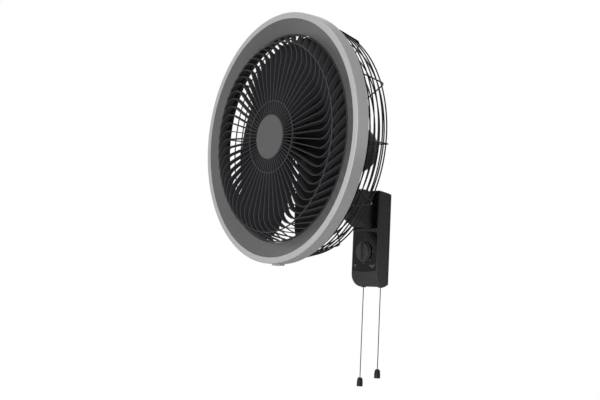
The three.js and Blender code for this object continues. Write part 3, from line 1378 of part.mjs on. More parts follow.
function makeEndShield() {
  const seat = BEARING_RADIUS + FIT;
  const plateY = REAR_BEARING_Y + BEARING_WIDTH + FIT;
  return revolveY(
    [
      [seat, REAR_BEARING_Y],
      [seat + 3, REAR_BEARING_Y],
      [MOTOR_RADIUS - MOTOR_WALL - RUN, plateY - 1],
      [MOTOR_RADIUS - MOTOR_WALL - RUN, plateY + END_SHIELD_THICKNESS - 1],
      [SHAFT_RADIUS + RUN, plateY + END_SHIELD_THICKNESS - 1],
      [SHAFT_RADIUS + RUN, plateY],
      [seat, plateY],
    ],
    CORE_STEPS,
  );
}

function makeTiltBolt() {
  const gap = TONGUE_HALF_WIDTH + TILT_EAR_THICKNESS + 2 * FIT;
  const head = bar('x', gap, gap + TILT_HEAD_HEIGHT, TILT_HEAD_RADIUS, [0, TILT_Y, TILT_Z], 24);
  const reach = gap + TILT_HEAD_HEIGHT;
  return head.add(bar('x', -reach, gap + 1, TILT_BOLT_RADIUS, [0, TILT_Y, TILT_Z], 20));
}

function makeTiltNut() {
  const gap = TONGUE_HALF_WIDTH + TILT_EAR_THICKNESS + 2 * FIT;
  const nut = bar('x', -gap - TILT_HEAD_HEIGHT + 1, -gap, TILT_HEAD_RADIUS, [0, TILT_Y, TILT_Z], 6);
  return nut.subtract(bar('x', -BEYOND, 0, TILT_BOLT_RADIUS + FIT, [0, TILT_Y, TILT_Z], 20));
}

// ---------------------------------------------------------------- assembly
const root = new THREE.Group();

const wallCase = new THREE.Group();
wallCase.add(
  piece('wall_plate', makeWallPlate(), FINISH.zinc),
  piece('rear_case', makeRearCase(), FINISH.blackPlastic),
  piece('base_cover', makeBaseCover(), FINISH.blackPlastic),
  piece('control_panel', makeControlPanel(), FINISH.glossBlack),
  piece('rotary_switch', makeRotarySwitch(), FINISH.nylon),
  piece('run_capacitor', makeRunCapacitor(), FINISH.capacitor),
  piece('swing_bracket', makeSwingBracket(), FINISH.steel),
  piece('swing_pin', makeSwingPin(), FINISH.steel),
  piece('swing_pin_nut', makeSwingNut(), FINISH.steel),
  piece('swing_sun_gear', makeGear(SUN_TEETH, SWING_Y, -Math.PI / 2, PIN_RADIUS + FIT), FINISH.nylon),
  piece('speed_knob', makeSpeedKnob(), FINISH.blackPlastic),
  piece('switch_shaft', makeSwitchShaft(), FINISH.steel),
);
for (const [side, x, reachZ] of [
  ['left', -CORD_X, LEFT_CORD_REACH_Z],
  ['right', CORD_X, RIGHT_CORD_REACH_Z],
]) {
  wallCase.add(
    piece(`${side}_pull_switch`, makePullSwitch(x), FINISH.nylon),
    piece(`${side}_cord_bush`, makeCordBush(x), FINISH.rubber),
    piece(`${side}_pull_rod`, makePullRod(x), FINISH.steel),
    piece(`${side}_pull_cord`, makePullCord(x, reachZ), FINISH.cord),
    piece(`${side}_pull_grip`, makePullGrip(x, reachZ), FINISH.blackPlastic),
  );
}

const neck = new THREE.Group();
const bushInner = PIN_RADIUS + RUN;
const bushOuter = bushInner + BUSHING_WALL;
const lowerBushZ = BARREL_BOTTOM_Z + 0.5;
const upperBushZ = BARREL_TOP_Z - 0.5;
const planetTooth = Math.PI / 2 + Math.PI / PLANET_TEETH;
const planetBore = SWING_MOTOR_SHAFT_RADIUS + RUN;
neck.add(
  piece('neck_arm', makeNeckArm(), FINISH.blackPlastic),
  piece('neck_lid', makeNeckLid(), FINISH.blackPlastic),
  piece(
    'lower_swing_bush',
    makeSleeve(bushInner, bushOuter, lowerBushZ, lowerBushZ + BUSHING_HEIGHT),
    FINISH.nylon,
  ),
  piece(
    'upper_swing_bush',
    makeSleeve(bushInner, bushOuter, upperBushZ - BUSHING_HEIGHT, upperBushZ),
    FINISH.nylon,
  ),
  piece(
    'thrust_washer',
    makeSleeve(PIN_RADIUS + FIT, WASHER_RADIUS, PAD_TOP_Z + FIT, WASHER_TOP_Z),
    FINISH.nylon,
  ),
  piece('swing_motor', makeSwingMotor(), FINISH.zinc),
  piece('swing_planet_gear', makeGear(PLANET_TEETH, PLANET_Y, planetTooth, planetBore), FINISH.nylon),
);

const head = new THREE.Group();
head.position.set(0, -HEAD_REACH, BLADE_AXIS_Z);
head.add(
  piece('silver_ring', makeSilverRing(), FINISH.silverPaint),
  piece('dish_ring', makeDishRing(), FINISH.grillePlastic),
  piece('ring_latch', makeRingLatch(), FINISH.silverPaint),
  piece('front_grille', makeFrontGrille(), FINISH.grillePlastic),
  piece('hub_cap', makeHubCap(), FINISH.blackPlastic),
  piece('rear_guard', makeRearGuard(), FINISH.wire),
  piece('guard_nut', makeGuardNut(), FINISH.blackPlastic),
  piece('motor_housing', makeMotorHousing(), FINISH.blackPaint),
  piece('motor_dome', makeMotorDome(), FINISH.blackPlastic),
  piece('motor_end_shield', makeEndShield(), FINISH.castAluminium),
  piece('stator', makeStator(), FINISH.steel),
  piece('front_bearing', makeBearing(FRONT_BEARING_Y), FINISH.steel),
  piece('rear_bearing', makeBearing(REAR_BEARING_Y), FINISH.steel),
  piece('tilt_bolt', makeTiltBolt(), FINISH.steel),
  piece('tilt_nut', makeTiltNut(), FINISH.steel),
);

const rotor = new THREE.Group();
rotor.add(
  piece('impeller', makeImpeller(), FINISH.grillePlastic),
  piece('spinner_nut', makeSpinnerNut(), FINISH.blackPlastic),
  piece('motor_shaft', makeMotorShaft(), FINISH.steel),
  piece('rotor_core', makeRotorCore(), FINISH.steel),
);
head.add(rotor);

root.add(wallCase, neck, head);

export default root;
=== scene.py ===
"""Looks of a wall fan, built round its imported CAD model.

The fan hangs on a wall case with a rotary knob and two pull cords. A swinging neck carries a
tilting head: motor, three-bladed impeller, wire rear guard, and a spiral-ribbed front grille in a
dished ring. Sizes are in millimetres in the shared frame (+Z up, the fan faces -Y, the origin is at
the middle of the wall plate's back face), and become metres where a mesh is made. Sizes of the
head are measured from the point of the blade axis in the plane of the ring's front edge.
"""

import logging
import math
from dataclasses import dataclass
from enum import Enum

import bmesh
import bpy
import numpy as np
from mathutils import Matrix, Vector


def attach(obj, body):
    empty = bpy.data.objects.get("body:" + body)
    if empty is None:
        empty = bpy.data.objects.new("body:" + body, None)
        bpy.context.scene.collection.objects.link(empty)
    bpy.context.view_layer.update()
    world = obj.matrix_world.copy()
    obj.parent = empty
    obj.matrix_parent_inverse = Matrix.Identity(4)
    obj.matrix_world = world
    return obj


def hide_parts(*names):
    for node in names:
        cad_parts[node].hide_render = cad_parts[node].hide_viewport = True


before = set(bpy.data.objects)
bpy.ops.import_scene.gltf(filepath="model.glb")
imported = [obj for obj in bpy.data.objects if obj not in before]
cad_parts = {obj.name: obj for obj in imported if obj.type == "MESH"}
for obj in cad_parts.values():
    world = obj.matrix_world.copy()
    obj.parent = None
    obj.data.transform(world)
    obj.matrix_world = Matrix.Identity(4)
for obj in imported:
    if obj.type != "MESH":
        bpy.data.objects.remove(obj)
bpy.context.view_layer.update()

LOG = logging.getLogger("wall_fan")
METRE = 0.001
HEAD_CENTRE = (0.0, -272.0, 180.0)
ROUND_STEPS = 240
ROUND_TURN = np.linspace(0.0, 2 * np.pi, ROUND_STEPS, endpoint=False)[:, None]
WHITE = (1.0, 1.0, 1.0, 1.0)
Points = np.ndarray


class Body(Enum):
    """The moving bodies of the fan."""

    WALL_CASE = "wall_case"
    NECK = "neck"
    SWING_PLANET = "swing_planet"
    HEAD = "head"
    ROTOR = "rotor"
    KNOB = "knob"
    LEFT_PULL = "left_pull"
    RIGHT_PULL = "right_pull"


class Axis(Enum):
    """The axis along which an outline is carried."""

    X = "x"
    Y = "y"
    Z = "z"


class Join(Enum):
    """How a tool shape is combined with a piece."""

    CUT = "DIFFERENCE"
    ADD = "UNION"


# ---------------------------------------------------------------- shapes worked out as arrays
@dataclass
class Shell:
    """A mesh in the making.

    Attributes:
        points: Corner places in millimetres, one row each.
        faces: Corner numbers of each face.
        uv: Two surface coordinates for each corner, or None.
    """

    points: Points
    faces: list[tuple[int, ...]]
    uv: Points | None = None

    def joined(self, *others: "Shell") -> "Shell":
        """This shell and the others as one.

        Args:
            *others: The shells that are added.

        Returns:
            The joined shell, without surface coordinates.
        """
        points, faces, count = [self.points], list(self.faces), len(self.points)
        for other in others:
            points.append(other.points)
            faces += [tuple(corner + count for corner in face) for face in other.faces]
            count += len(other.points)
        return Shell(np.concatenate(points), faces)

    def moved(self, offset: tuple[float, float, float]) -> "Shell":
        """This shell moved by an offset in millimetres."""
        return Shell(self.points + np.asarray(offset, float), self.faces, self.uv)


def grid(points: Points, close_rows: bool = False, close_columns: bool = False) -> Shell:
    """A surface over a grid of points: each cell (i, j) is the quad of its four corners.

    Args:
        points: Array of rows by columns by three.
        close_rows: Joins the last row to the first.
        close_columns: Joins the last column to the first.

    Returns:
        The surface, open at its unclosed borders.
    """
    rows, columns = points.shape[:2]
    i, j = np.meshgrid(
        np.arange(rows if close_rows else rows - 1),
        np.arange(columns if close_columns else columns - 1),
        indexing="ij",
    )
    down, right = (i + 1) % rows, (j + 1) % columns
    cells = np.stack([i * columns + j, i * columns + right, down * columns + right, down * columns + j], -1)
    return Shell(points.reshape(-1, 3), [tuple(cell) for cell in cells.reshape(-1, 4).tolist()])


def sleeve(points: Points) -> Shell:
    """A closed body through rows of loops, with a flat face over its first and last loop.

    Args:
        points: Array of loops by corners by three.

    Returns:
        The closed body.
    """
    shell = grid(points, close_columns=True)
    columns = points.shape[1]
    last = (points.shape[0] - 1) * columns
    shell.faces.append(tuple(range(columns)))
    shell.faces.append(tuple(range(last, last + columns)))
    return shell


def soften(outline: Points | list, radius: float | list, steps: int = 5, closed: bool = True) -> Points:
    """Rounds the corners of an outline.

    A corner c with cut r is replaced by (1-t)^2 a + 2t(1-t) c + t^2 b for t from 0 to 1, where a and
    b lie r back along the edge before it and r along the edge after it.

    Args:
        outline: Corners, one pair each.
        radius: The cut of every corner, or one for each.
        steps: Points in each rounded corner.
        closed: Whether the last corner runs on to the first.

    Returns:
        The points of the rounded outline.
    """
    corners = np.asarray(outline, float)
    cut = np.array(np.broadcast_to(np.asarray(radius, float), len(corners)))
    if not closed:
        cut[[0, -1]] = 0.0
    before = np.roll(corners, 1, 0) - corners
    after = np.roll(corners, -1, 0) - corners
    length_before = np.linalg.norm(before, axis=1, keepdims=True)
    length_after = np.linalg.norm(after, axis=1, keepdims=True)
    reach = np.minimum(cut[:, None], 0.49 * np.minimum(length_before, length_after))
    start = (corners + before / length_before * reach)[:, None]
    end = (corners + after / length_after * reach)[:, None]
    t = np.linspace(0.0, 1.0, steps)[None, :, None]
    curve = (1 - t) ** 2 * start + 2 * t * (1 - t) * corners[:, None] + t**2 * end
    points = curve.reshape(-1, 2)
    apart = np.linalg.norm(points - np.roll(points, 1, 0), axis=1) > 1e-4
    apart[0] = apart[0] or not closed
    return points[apart]


def arc(centre: tuple[float, float], radius: float, start: float, end: float, steps: int = 16) -> Points:
    """Points centre + radius (cos a, sin a) for angles a from start to end, in degrees."""
    angle = np.radians(np.linspace(start, end, steps))
    return np.stack([centre[0] + radius * np.cos(angle), centre[1] + radius * np.sin(angle)], -1)


def revolved(profile: Points, centre: tuple, axis: Axis = Axis.Y, steps: int = ROUND_STEPS,
             ripple: Points | float = 0.0) -> Shell:
    """A closed profile of (radius, height) turned about an axis.

    Point (i, j) is centre + (r_j + ripple_ij) (cos a_i, sin a_i) across the axis and h_j along it.

    Args:
        profile: Pairs of radius and height, as a closed loop.
        centre: The point on the axis from which heights are measured.
        axis: The axis of turning, Y or Z.
        steps: Number of steps round.
        ripple: What is added to the radius, for each step and profile point.

    Returns:
        The closed surface.
    """
    angle = np.linspace(0.0, 2 * np.pi, steps, endpoint=False)[:, None]
    radius = profile[:, 0] + ripple
    x, other = radius * np.cos(angle), radius * np.sin(angle)
    along = np.broadcast_to(profile[:, 1], x.shape)
    order = (x, along, other) if axis is Axis.Y else (x, other, along)
    return grid(np.stack(order, -1), True, True).moved(centre)


def slab(outline: Points, low: float, high: float, edge: float, axis: Axis, steps: int = 4) -> Shell:
    """An outline carried along an axis, with its two rims rounded over.

    Near each end the outline is drawn in along its corner normals by edge (1 - sin a) while the
    height runs edge (1 - cos a) from that end, for a from 0 to a quarter turn.

    Args:
        outline: Corner pairs: (y, z) for X, (x, z) for Y and (x, y) for Z.
        low: Where it starts on the axis.
        high: Where it ends.
        edge: Radius of the rounded rims.
        axis: The axis it is carried along.
        steps: Rows in each rounded rim.

    Returns:
        The closed body.
    """
    after = np.roll(outline, -1, 0) - outline
    after /= np.linalg.norm(after, axis=1, keepdims=True)
    before = np.roll(after, 1, 0)
    area = np.sum(outline[:, 0] * np.roll(outline[:, 1], -1) - np.roll(outline[:, 0], -1) * outline[:, 1])
    inward = np.stack([-(after[:, 1] + before[:, 1]), after[:, 0] + before[:, 0]], -1) * np.sign(area)
    inward /= np.maximum(0.6, 1 + np.sum(after * before, axis=1))[:, None]
    turn = np.linspace(0.0, np.pi / 2, steps)
    inset, rise = edge * (1 - np.sin(turn)), edge * (1 - np.cos(turn))
    insets = np.concatenate([inset, inset[::-1]]) if edge > 0 else np.zeros(2)
    heights = np.concatenate([low + rise, high - rise[::-1]]) if edge > 0 else np.array([low, high])
    flat = outline[None] + inward[None] * insets[:, None, None]
    along = np.broadcast_to(heights[:, None], flat.shape[:2])
    first, second = flat[..., 0], flat[..., 1]
    order = {Axis.X: (along, first, second), Axis.Y: (first, along, second), Axis.Z: (first, second, along)}
    return sleeve(np.stack(order[axis], -1))


def block(low: tuple[float, float, float], high: tuple[float, float, float], edge: float = 0.0) -> Shell:
    """A box between two corners, with its upright edges rounded.

    Args:
        low: One corner.
        high: The opposite corner.
        edge: Radius of its upright edges and of its rims.

    Returns:
        The closed box.
    """
    outline = np.array([[low[0], low[1]], [high[0], low[1]], [high[0], high[1]], [low[0], high[1]]], float)
    if edge > 0:
        outline = soften(outline, edge)
    return slab(outline, low[2], high[2], edge, Axis.Z)


def bar(axis: Axis, start: float, end: float, radius: float, centre: tuple, edge: float = 0.0,
        sides: int = 64) -> Shell:
    """A round bar along an axis through a centre given as its two other places, or a nut of few sides."""
    outline = arc(centre, radius, 0.0, 360.0, sides + 1)[:-1]
    return slab(outline, start, end, edge, axis)


def wire(route: Points, up: Points, radius: float, sides: int = 10, closed: bool = False) -> Shell:
    """A round wire along a route.

    Row i is the circle route_i + radius (cos a up_i + sin a side_i), where side is the cross product
    of the route's direction, by central differences, and up.

    Args:
        route: Points of the middle line.
        up: A unit vector at each point, square to the route.
        radius: The wire's radius.
        sides: Points round it.
        closed: Whether the route is a loop.

    Returns:
        The closed surface.
    """
    if closed:
        along = np.roll(route, -1, 0) - np.roll(route, 1, 0)
    else:
        along = np.gradient(route, axis=0)
    along /= np.linalg.norm(along, axis=1, keepdims=True)
    side = np.cross(along, up)
    angle = np.linspace(0.0, 2 * np.pi, sides, endpoint=False)[None, :, None]
    points = route[:, None] + radius * (np.cos(angle) * up[:, None] + np.sin(angle) * side[:, None])
    return grid(points, True, True) if closed else sleeve(points)


def ring_wire(radius: float, y: float, thickness: float, steps: int = 180, sides: int = 10) -> Shell:
    """A wire bent to a circle about the blade axis: its middle line is (r cos a, y, r sin a).

    Args:
        radius: Radius of the middle line.
        y: Its depth.
        thickness: The wire's own radius.
        steps: Points along it.
        sides: Points round it.

    Returns:
        The closed ring.
    """
    angle = np.linspace(0.0, 2 * np.pi, steps, endpoint=False)
    outward = np.stack([np.cos(angle), np.zeros(steps), np.sin(angle)], -1)
    return wire(radius * outward + (0.0, y, 0.0), outward, thickness, sides, closed=True)


# ---------------------------------------------------------------- finishes
def grey(level: float) -> tuple[float, float, float, float]:
    """The linear colour of a grey that is written as 0 to 255.

    Args:
        level: The grey from 0 to 255.

    Returns:
        Red, green, blue and alpha.
    """
    share = level / 255.0
    linear = share / 12.92 if share <= 0.04045 else ((share + 0.055) / 1.055) ** 2.4
    return (linear, linear, linear, 1.0)


def plug(tree: bpy.types.NodeTree, node: bpy.types.Node, inputs: dict) -> None:
    """Sets a node's sockets, by name or number, to values, and links those given another socket.

    Args:
        tree: The tree of both nodes.
        node: The node whose sockets are set.
        inputs: What each socket gets.
    """
    for key, value in inputs.items():
        if isinstance(value, bpy.types.NodeSocket):
            tree.links.new(value, node.inputs[key])
        else:
            node.inputs[key].default_value = value


def add_node(tree: bpy.types.NodeTree, kind: str, inputs: dict, **settings: str) -> bpy.types.Node:
    """A new shader node.

    Args:
        tree: The tree it goes into.
        kind: Its type, without the leading ShaderNode.
        inputs: What its sockets get, as for plug.
        **settings: Its other settings by name.

    Returns:
        The node.
    """
    node = tree.nodes.new(f"ShaderNode{kind}")
    for name, value in settings.items():
        setattr(node, name, value)
    plug(tree, node, inputs)
    return node


def mix(tree: bpy.types.NodeTree, factor: bpy.types.NodeSocket, low: bpy.types.NodeSocket | tuple,
        high: tuple) -> bpy.types.NodeSocket:
    """Two colours mixed by a factor; sockets 6, 7 and output 2 of a mix node are its colours."""
    return add_node(tree, "Mix", {0: factor, 6: low, 7: high}, data_type="RGBA").outputs[2]


@dataclass(frozen=True)
class Surface:
    """Anything that can cover a piece.

    Attributes:
        name: Name of the material.
    """

    name: str

    def material(self) -> bpy.types.Material:
        """The Blender material of this surface, made at its first use.

        Returns:
            The material.
        """
        made = bpy.data.materials.get(self.name)
        if made is None:
            made = bpy.data.materials.new(self.name)
            made.use_nodes = True
            self.paint(made.node_tree, made.node_tree.nodes["Principled BSDF"])
        return made

    def paint(self, tree: bpy.types.NodeTree, shader: bpy.types.Node) -> None:
        """Wires the sockets of the material's shader."""
        raise NotImplementedError


@dataclass(frozen=True)
class Finish(Surface):
    """A moulded, painted or machined surface: a base shade with grain, cloudiness and rubbed spots.

    Attributes:
        shade: Grey level from 0 to 255.
        roughness: Middle value of the roughness.
        metallic: 0 for plastic and paint, 1 for bare metal.
        grain: Size of the fine surface grain in millimetres.
        relief: Depth of that grain in millimetres.
        cloud: Size of the slow changes of shade in millimetres.
        contrast: How far the shade changes, as a share of itself.
        streak: How much longer the grain is along X, Y and Z, as a scale for each.
        specular: Level of the plain reflection.
    """

    shade: float
    roughness: float
    metallic: float = 0.0
    grain: float = 0.35
    relief: float = 0.02
    cloud: float = 40.0
    contrast: float = 0.12
    streak: tuple[float, float, float] = (1.0, 1.0, 1.0)
    specular: float = 0.18

    def paint(self, tree: bpy.types.NodeTree, shader: bpy.types.Node) -> None:
        """Wires the surface.

        Fine noise on Object coordinates drives the bump. Slow noise mixes a darker and a lighter
        shade of the base and drives the roughness, and a third noise thins out to rubbed spots.

        Args:
            tree: The material's node tree.
            shader: Its shader.
        """
        place = add_node(tree, "TexCoord", {}).outputs["Object"]
        stretched = add_node(tree, "Mapping", {"Vector": place, "Scale": self.streak}).outputs["Vector"]
        grain = self.noise(tree, stretched, self.grain, 2.0)
        cloud = self.noise(tree, place, self.cloud, 4.0)
        rubbed = self.noise(tree, place, self.cloud * 0.12, 6.0)
        spots = add_node(tree, "MapRange", {"Value": rubbed, "From Min": 0.6, "From Max": 0.8})
        shade_now = mix(tree, cloud, self.tint(1 - self.contrast), self.tint(1 + self.contrast))
        worn = mix(tree, spots.outputs["Result"], shade_now, self.tint(1 + 2.2 * self.contrast))
        gloss = add_node(tree, "MapRange", {
            "Value": cloud, "From Min": 0.3, "From Max": 0.7,
            "To Min": max(0.03, self.roughness * 0.85), "To Max": min(1.0, self.roughness * 1.15)})
        bump = add_node(tree, "Bump", {"Strength": 0.6, "Distance": self.relief * METRE, "Height": grain})
        plug(tree, shader, {
            "Base Color": worn, "Metallic": self.metallic, "Specular IOR Level": self.specular,
            "Roughness": gloss.outputs["Result"], "Normal": bump.outputs["Normal"]})

    def tint(self, factor: float) -> tuple[float, float, float, float]:
        """The base shade made lighter or darker by a factor."""
        level = grey(self.shade)[0] * factor
        return (level, level, level, 1.0)

    @staticmethod
    def noise(tree: bpy.types.NodeTree, vector: bpy.types.NodeSocket, size: float,
              detail: float) -> bpy.types.NodeSocket:
        """A noise texture whose lumps have a size in millimetres."""
        inputs = {"Vector": vector, "Scale": 1.0 / (size * METRE), "Detail": detail}
        return add_node(tree, "TexNoise", inputs).outputs["Fac"]


@dataclass(frozen=True)
class BraidFinish(Surface):
    """Braided cord: two sets of strands wind round it in opposite directions.

    The height is the larger of two waves, sin(2 pi (k u + n v)) and sin(2 pi (k u - n v)), where u
    runs along the cord in metres and v once round it.

    Attributes:
        shade: Grey level from 0 to 255.
        strands: Strands of each set, n.
        pitch: Length of one wave along the cord in millimetres, the inverse of k.
    """

    name: str = "braided_cord"
    shade: float = 84.0
    strands: float = 4.0
    pitch: float = 3.2

    def paint(self, tree: bpy.types.NodeTree, shader: bpy.types.Node) -> None:
        """Wires the braid: its waves give the relief, and a base colour that is darker in the grooves between
        strands as painted shade and lighter on the crests.

        Args:
            tree: The material's node tree.
            shader: Its shader.
        """
        place = add_node(tree, "UVMap", {}).outputs["UV"]
        waves = [self.wave(tree, place, turn) for turn in (self.strands, -self.strands)]
        crest = add_node(tree, "Math", {0: waves[0], 1: waves[1]}, operation="MAXIMUM").outputs[0]
        bump = add_node(tree, "Bump", {"Distance": 0.15 * METRE, "Height": crest})
        # Painted shade: the colour falls to half the shade level in the grooves between strands, and rises a
        # little on the crests.
        plug(tree, shader, {
            "Base Color": mix(tree, crest, grey(self.shade * 0.5), grey(self.shade * 1.15)),
            "Roughness": 0.8, "Sheen Weight": 0.25, "Normal": bump.outputs["Normal"]})

    def wave(self, tree: bpy.types.NodeTree, place: bpy.types.NodeSocket,
             turn: float) -> bpy.types.NodeSocket:
        """The half wave (1 + sin(2 pi (u / pitch + turn v))) / 2 of one set of strands.

        Args:
            tree: The material's node tree.
            place: The surface coordinates.
            turn: Waves once round the cord, negative for the other direction.

        Returns:
            The wave's value.
        """
        rate = (2 * math.pi / (self.pitch * METRE), 2 * math.pi * turn, 0.0)
        dot = add_node(tree, "VectorMath", {0: place, 1: rate}, operation="DOT_PRODUCT")
        sine = add_node(tree, "Math", {0: dot.outputs["Value"]}, operation="SINE")
        half = add_node(tree, "Math", {0: sine.outputs[0], 1: 0.5, 2: 0.5}, operation="MULTIPLY_ADD")
        return half.outputs[0]


CASE_PLASTIC = Finish("case_plastic", 60, 0.5, grain=0.4, relief=0.03, contrast=0.08)
NECK_PLASTIC = Finish("neck_plastic", 58, 0.48, grain=0.4, relief=0.03, contrast=0.08)
PANEL_GLOSS = Finish("panel_gloss", 7, 0.07, relief=0.002, cloud=25, contrast=0.3, specular=0.14)
KNOB_PLASTIC = Finish("knob_plastic", 74, 0.42, grain=0.3, relief=0.02)
GRIP_PLASTIC = Finish("grip_plastic", 28, 0.4, grain=0.25, relief=0.015)
SILVER_PAINT = Finish("silver_paint", 178, 0.42, metallic=0.3, grain=0.2, relief=0.006, contrast=0.03)
DISH_PLASTIC = Finish("dish_plastic", 92, 0.3, grain=0.35, relief=0.01, contrast=0.06, specular=0.3)
GRILLE_PLASTIC = Finish("grille_plastic", 84, 0.4, grain=0.3, relief=0.012, contrast=0.1)
HUB_PLASTIC = Finish("hub_plastic", 86, 0.5, grain=0.3, relief=0.02, contrast=0.05)
BLADE_PLASTIC = Finish("blade_plastic", 13, 0.45, grain=0.5, relief=0.02, cloud=60, contrast=0.15)
WIRE_COAT = Finish("wire_coat", 30, 0.35, metallic=0.2, grain=0.25, relief=0.02, cloud=15, contrast=0.2)
MOTOR_PAINT = Finish("motor_paint", 44, 0.5, grain=0.45, relief=0.06, contrast=0.12)
DOME_PLASTIC = Finish("dome_plastic", 50, 0.48, grain=0.4, relief=0.03)
BARE_STEEL = Finish("bare_steel", 150, 0.34, metallic=1.0, specular=0.5, streak=(1, 1, 6), relief=0.01,
                    cloud=10)
ZINC_SHEET = Finish("zinc_sheet", 165, 0.42, metallic=1.0, grain=4.0, relief=0.02, cloud=12, contrast=0.2)
CAST_METAL = Finish("cast_metal", 120, 0.5, metallic=0.9, grain=0.6, relief=0.08, cloud=18)
PALE_NYLON = Finish("pale_nylon", 205, 0.5, grain=0.3, relief=0.01, contrast=0.05)
BLACK_RUBBER = Finish("black_rubber", 26, 0.75, grain=0.2, relief=0.03)
CAPACITOR_SHELL = Finish("capacitor_shell", 62, 0.55, grain=0.5, relief=0.02)
PRINT_INK = Finish("print_ink", 168, 0.6, grain=0.1, relief=0.004, contrast=0.1)
BRAID = BraidFinish()


ROUND_GLYPH = [[(2, 0), (0, 0), (0, 6), (4, 6), (4, 0), (1.9, 0)]]
GLYPHS: dict[str, list[list[tuple[float, float]]]] = {
    "O": ROUND_GLYPH,
    "N": [[(0, 0), (0, 6), (4, 0), (4, 6)]],
    "F": [[(0, 0), (0, 6), (3.8, 6)], [(0, 3.1), (3, 3.1)]],
    "-": [[(0.8, 3), (3.2, 3)]],
    "0": ROUND_GLYPH,
    "1": [[(0.8, 4.6), (2.2, 6), (2.2, 0)]],
    "2": [[(0, 4.6), (0.4, 6), (3.8, 6), (4, 3.8), (0, 0), (4, 0)]],
    "3": [[(0, 5.4), (1, 6), (3.9, 6), (3.9, 3.1), (1.4, 3.1)],
          [(2.0, 3.1), (4, 3.1), (4, 0), (0.8, 0), (0, 0.8)]],
    "4": [[(3, 0), (3, 6), (0, 1.8), (4, 1.8)]],
}


# ---------------------------------------------------------------- making pieces
def mesh_object(name: str, shell: Shell, smooth: float = 40.0) -> bpy.types.Object:
    """An object at the origin whose mesh is a shell in metres, its doubles joined, faces outwards.

    Args:
        name: Name of the piece.
        shell: Its surface in millimetres.
        smooth: Edges that turn by more than this many degrees stay sharp.

    Returns:
        The new object, linked to the scene.
    """
    mesh = bpy.data.meshes.new(name)
    mesh.from_pydata((shell.points * METRE).tolist(), [], shell.faces)
    if shell.uv is not None:
        layer = mesh.uv_layers.new(name="UVMap")
        corner = np.empty(len(mesh.loops), dtype=np.int32)
        mesh.loops.foreach_get("vertex_index", corner)
        layer.data.foreach_set("uv", shell.uv[corner].astype(np.float32).ravel())
    work = bmesh.new()
    work.from_mesh(mesh)
    bmesh.ops.remove_doubles(work, verts=work.verts, dist=2e-6)
    bmesh.ops.recalc_face_normals(work, faces=work.faces)
    work.to_mesh(mesh)
    work.free()
    piece = bpy.data.objects.new(name, mesh)
    bpy.context.scene.collection.objects.link(piece)
    shade(piece, smooth)
    return piece


def shade(piece: bpy.types.Object, smooth: float) -> None:
    """Shades a piece smooth, and sharp at edges that turn by more than an angle in degrees."""
    piece.data.shade_smooth()
    piece.data.set_sharp_from_angle(angle=math.radians(smooth))


def flatten_normals(piece: bpy.types.Object) -> None:
    """Lets the large faces of a piece shade flat beside their rounded edges.

    Args:
        piece: The piece.
    """
    step = piece.modifiers.new("normals", "WEIGHTED_NORMAL")
    step.keep_sharp = True
    step.weight = 100


def combine(piece: bpy.types.Object, shells: list[Shell], join: Join = Join.CUT) -> None:
    """Cuts shells from a piece, or joins them to it, and keeps the result as its mesh."""
    for number, shell in enumerate(shells):
        merge(piece, mesh_object(f"{piece.name}_tool_{number}", shell), join)


def merge(piece: bpy.types.Object, tool: bpy.types.Object, join: Join) -> None:
    """Combines a tool object with a piece by an exact Boolean, and deletes the tool.

    Args:
        piece: What is kept.
        tool: What cuts it or joins it.
        join: Which of the two.
    """
    step = piece.modifiers.new("combine", "BOOLEAN")
    step.operation = join.value
    step.solver = "EXACT"
    step.object = tool
    apply_modifiers(piece)
    bpy.data.objects.remove(tool)


def apply_modifiers(piece: bpy.types.Object) -> None:
    """Keeps what a piece's modifiers make as its own mesh.

    Args:
        piece: The piece.
    """
    graph = bpy.context.evaluated_depsgraph_get()
    graph.update()
    made = bpy.data.meshes.new_from_object(piece.evaluated_get(graph), depsgraph=graph)
    piece.modifiers.clear()
    piece.data = made
    made.name = piece.name


def bevel(piece: bpy.types.Object, width: float) -> None:
    """Rounds the edges of a piece that turn by 40 degrees or more, by a width in millimetres.

    Args:
        piece: The piece.
        width: Width of the rounding.
    """
    step = piece.modifiers.new("edges", "BEVEL")
    step.width = width * METRE
    step.segments = 2
    step.limit_method = "ANGLE"
    step.angle_limit = math.radians(40.0)
    step.harden_normals = False
    apply_modifiers(piece)


def dress(piece: bpy.types.Object, finish: Surface, body: Body, slot: str,
          *nodes: str) -> bpy.types.Object:
    """Gives a new piece its finish, its body, its material slot and the CAD nodes it stands for.

    Args:
        piece: The piece.
        finish: Its finish.
        body: The body it moves with.
        slot: Not used.
        *nodes: CAD nodes that it replaces.

    Returns:
        The same piece.
    """
    piece.data.materials.clear()
    piece.data.materials.append(finish.material())
    flatten_normals(piece)
    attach(piece, body.value)
    if nodes:
        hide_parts(*nodes)
    LOG.info("%s: %d faces on %s", piece.name, len(piece.data.polygons), body.value)
    return piece


def make(name: str, shell: Shell, finish: Surface, body: Body, slot: str, *nodes: str,
         smooth: float = 40.0) -> bpy.types.Object:
    """A dressed piece straight from a shell, its arguments those of mesh_object and dress."""
    return dress(mesh_object(name, shell, smooth), finish, body, slot, *nodes)


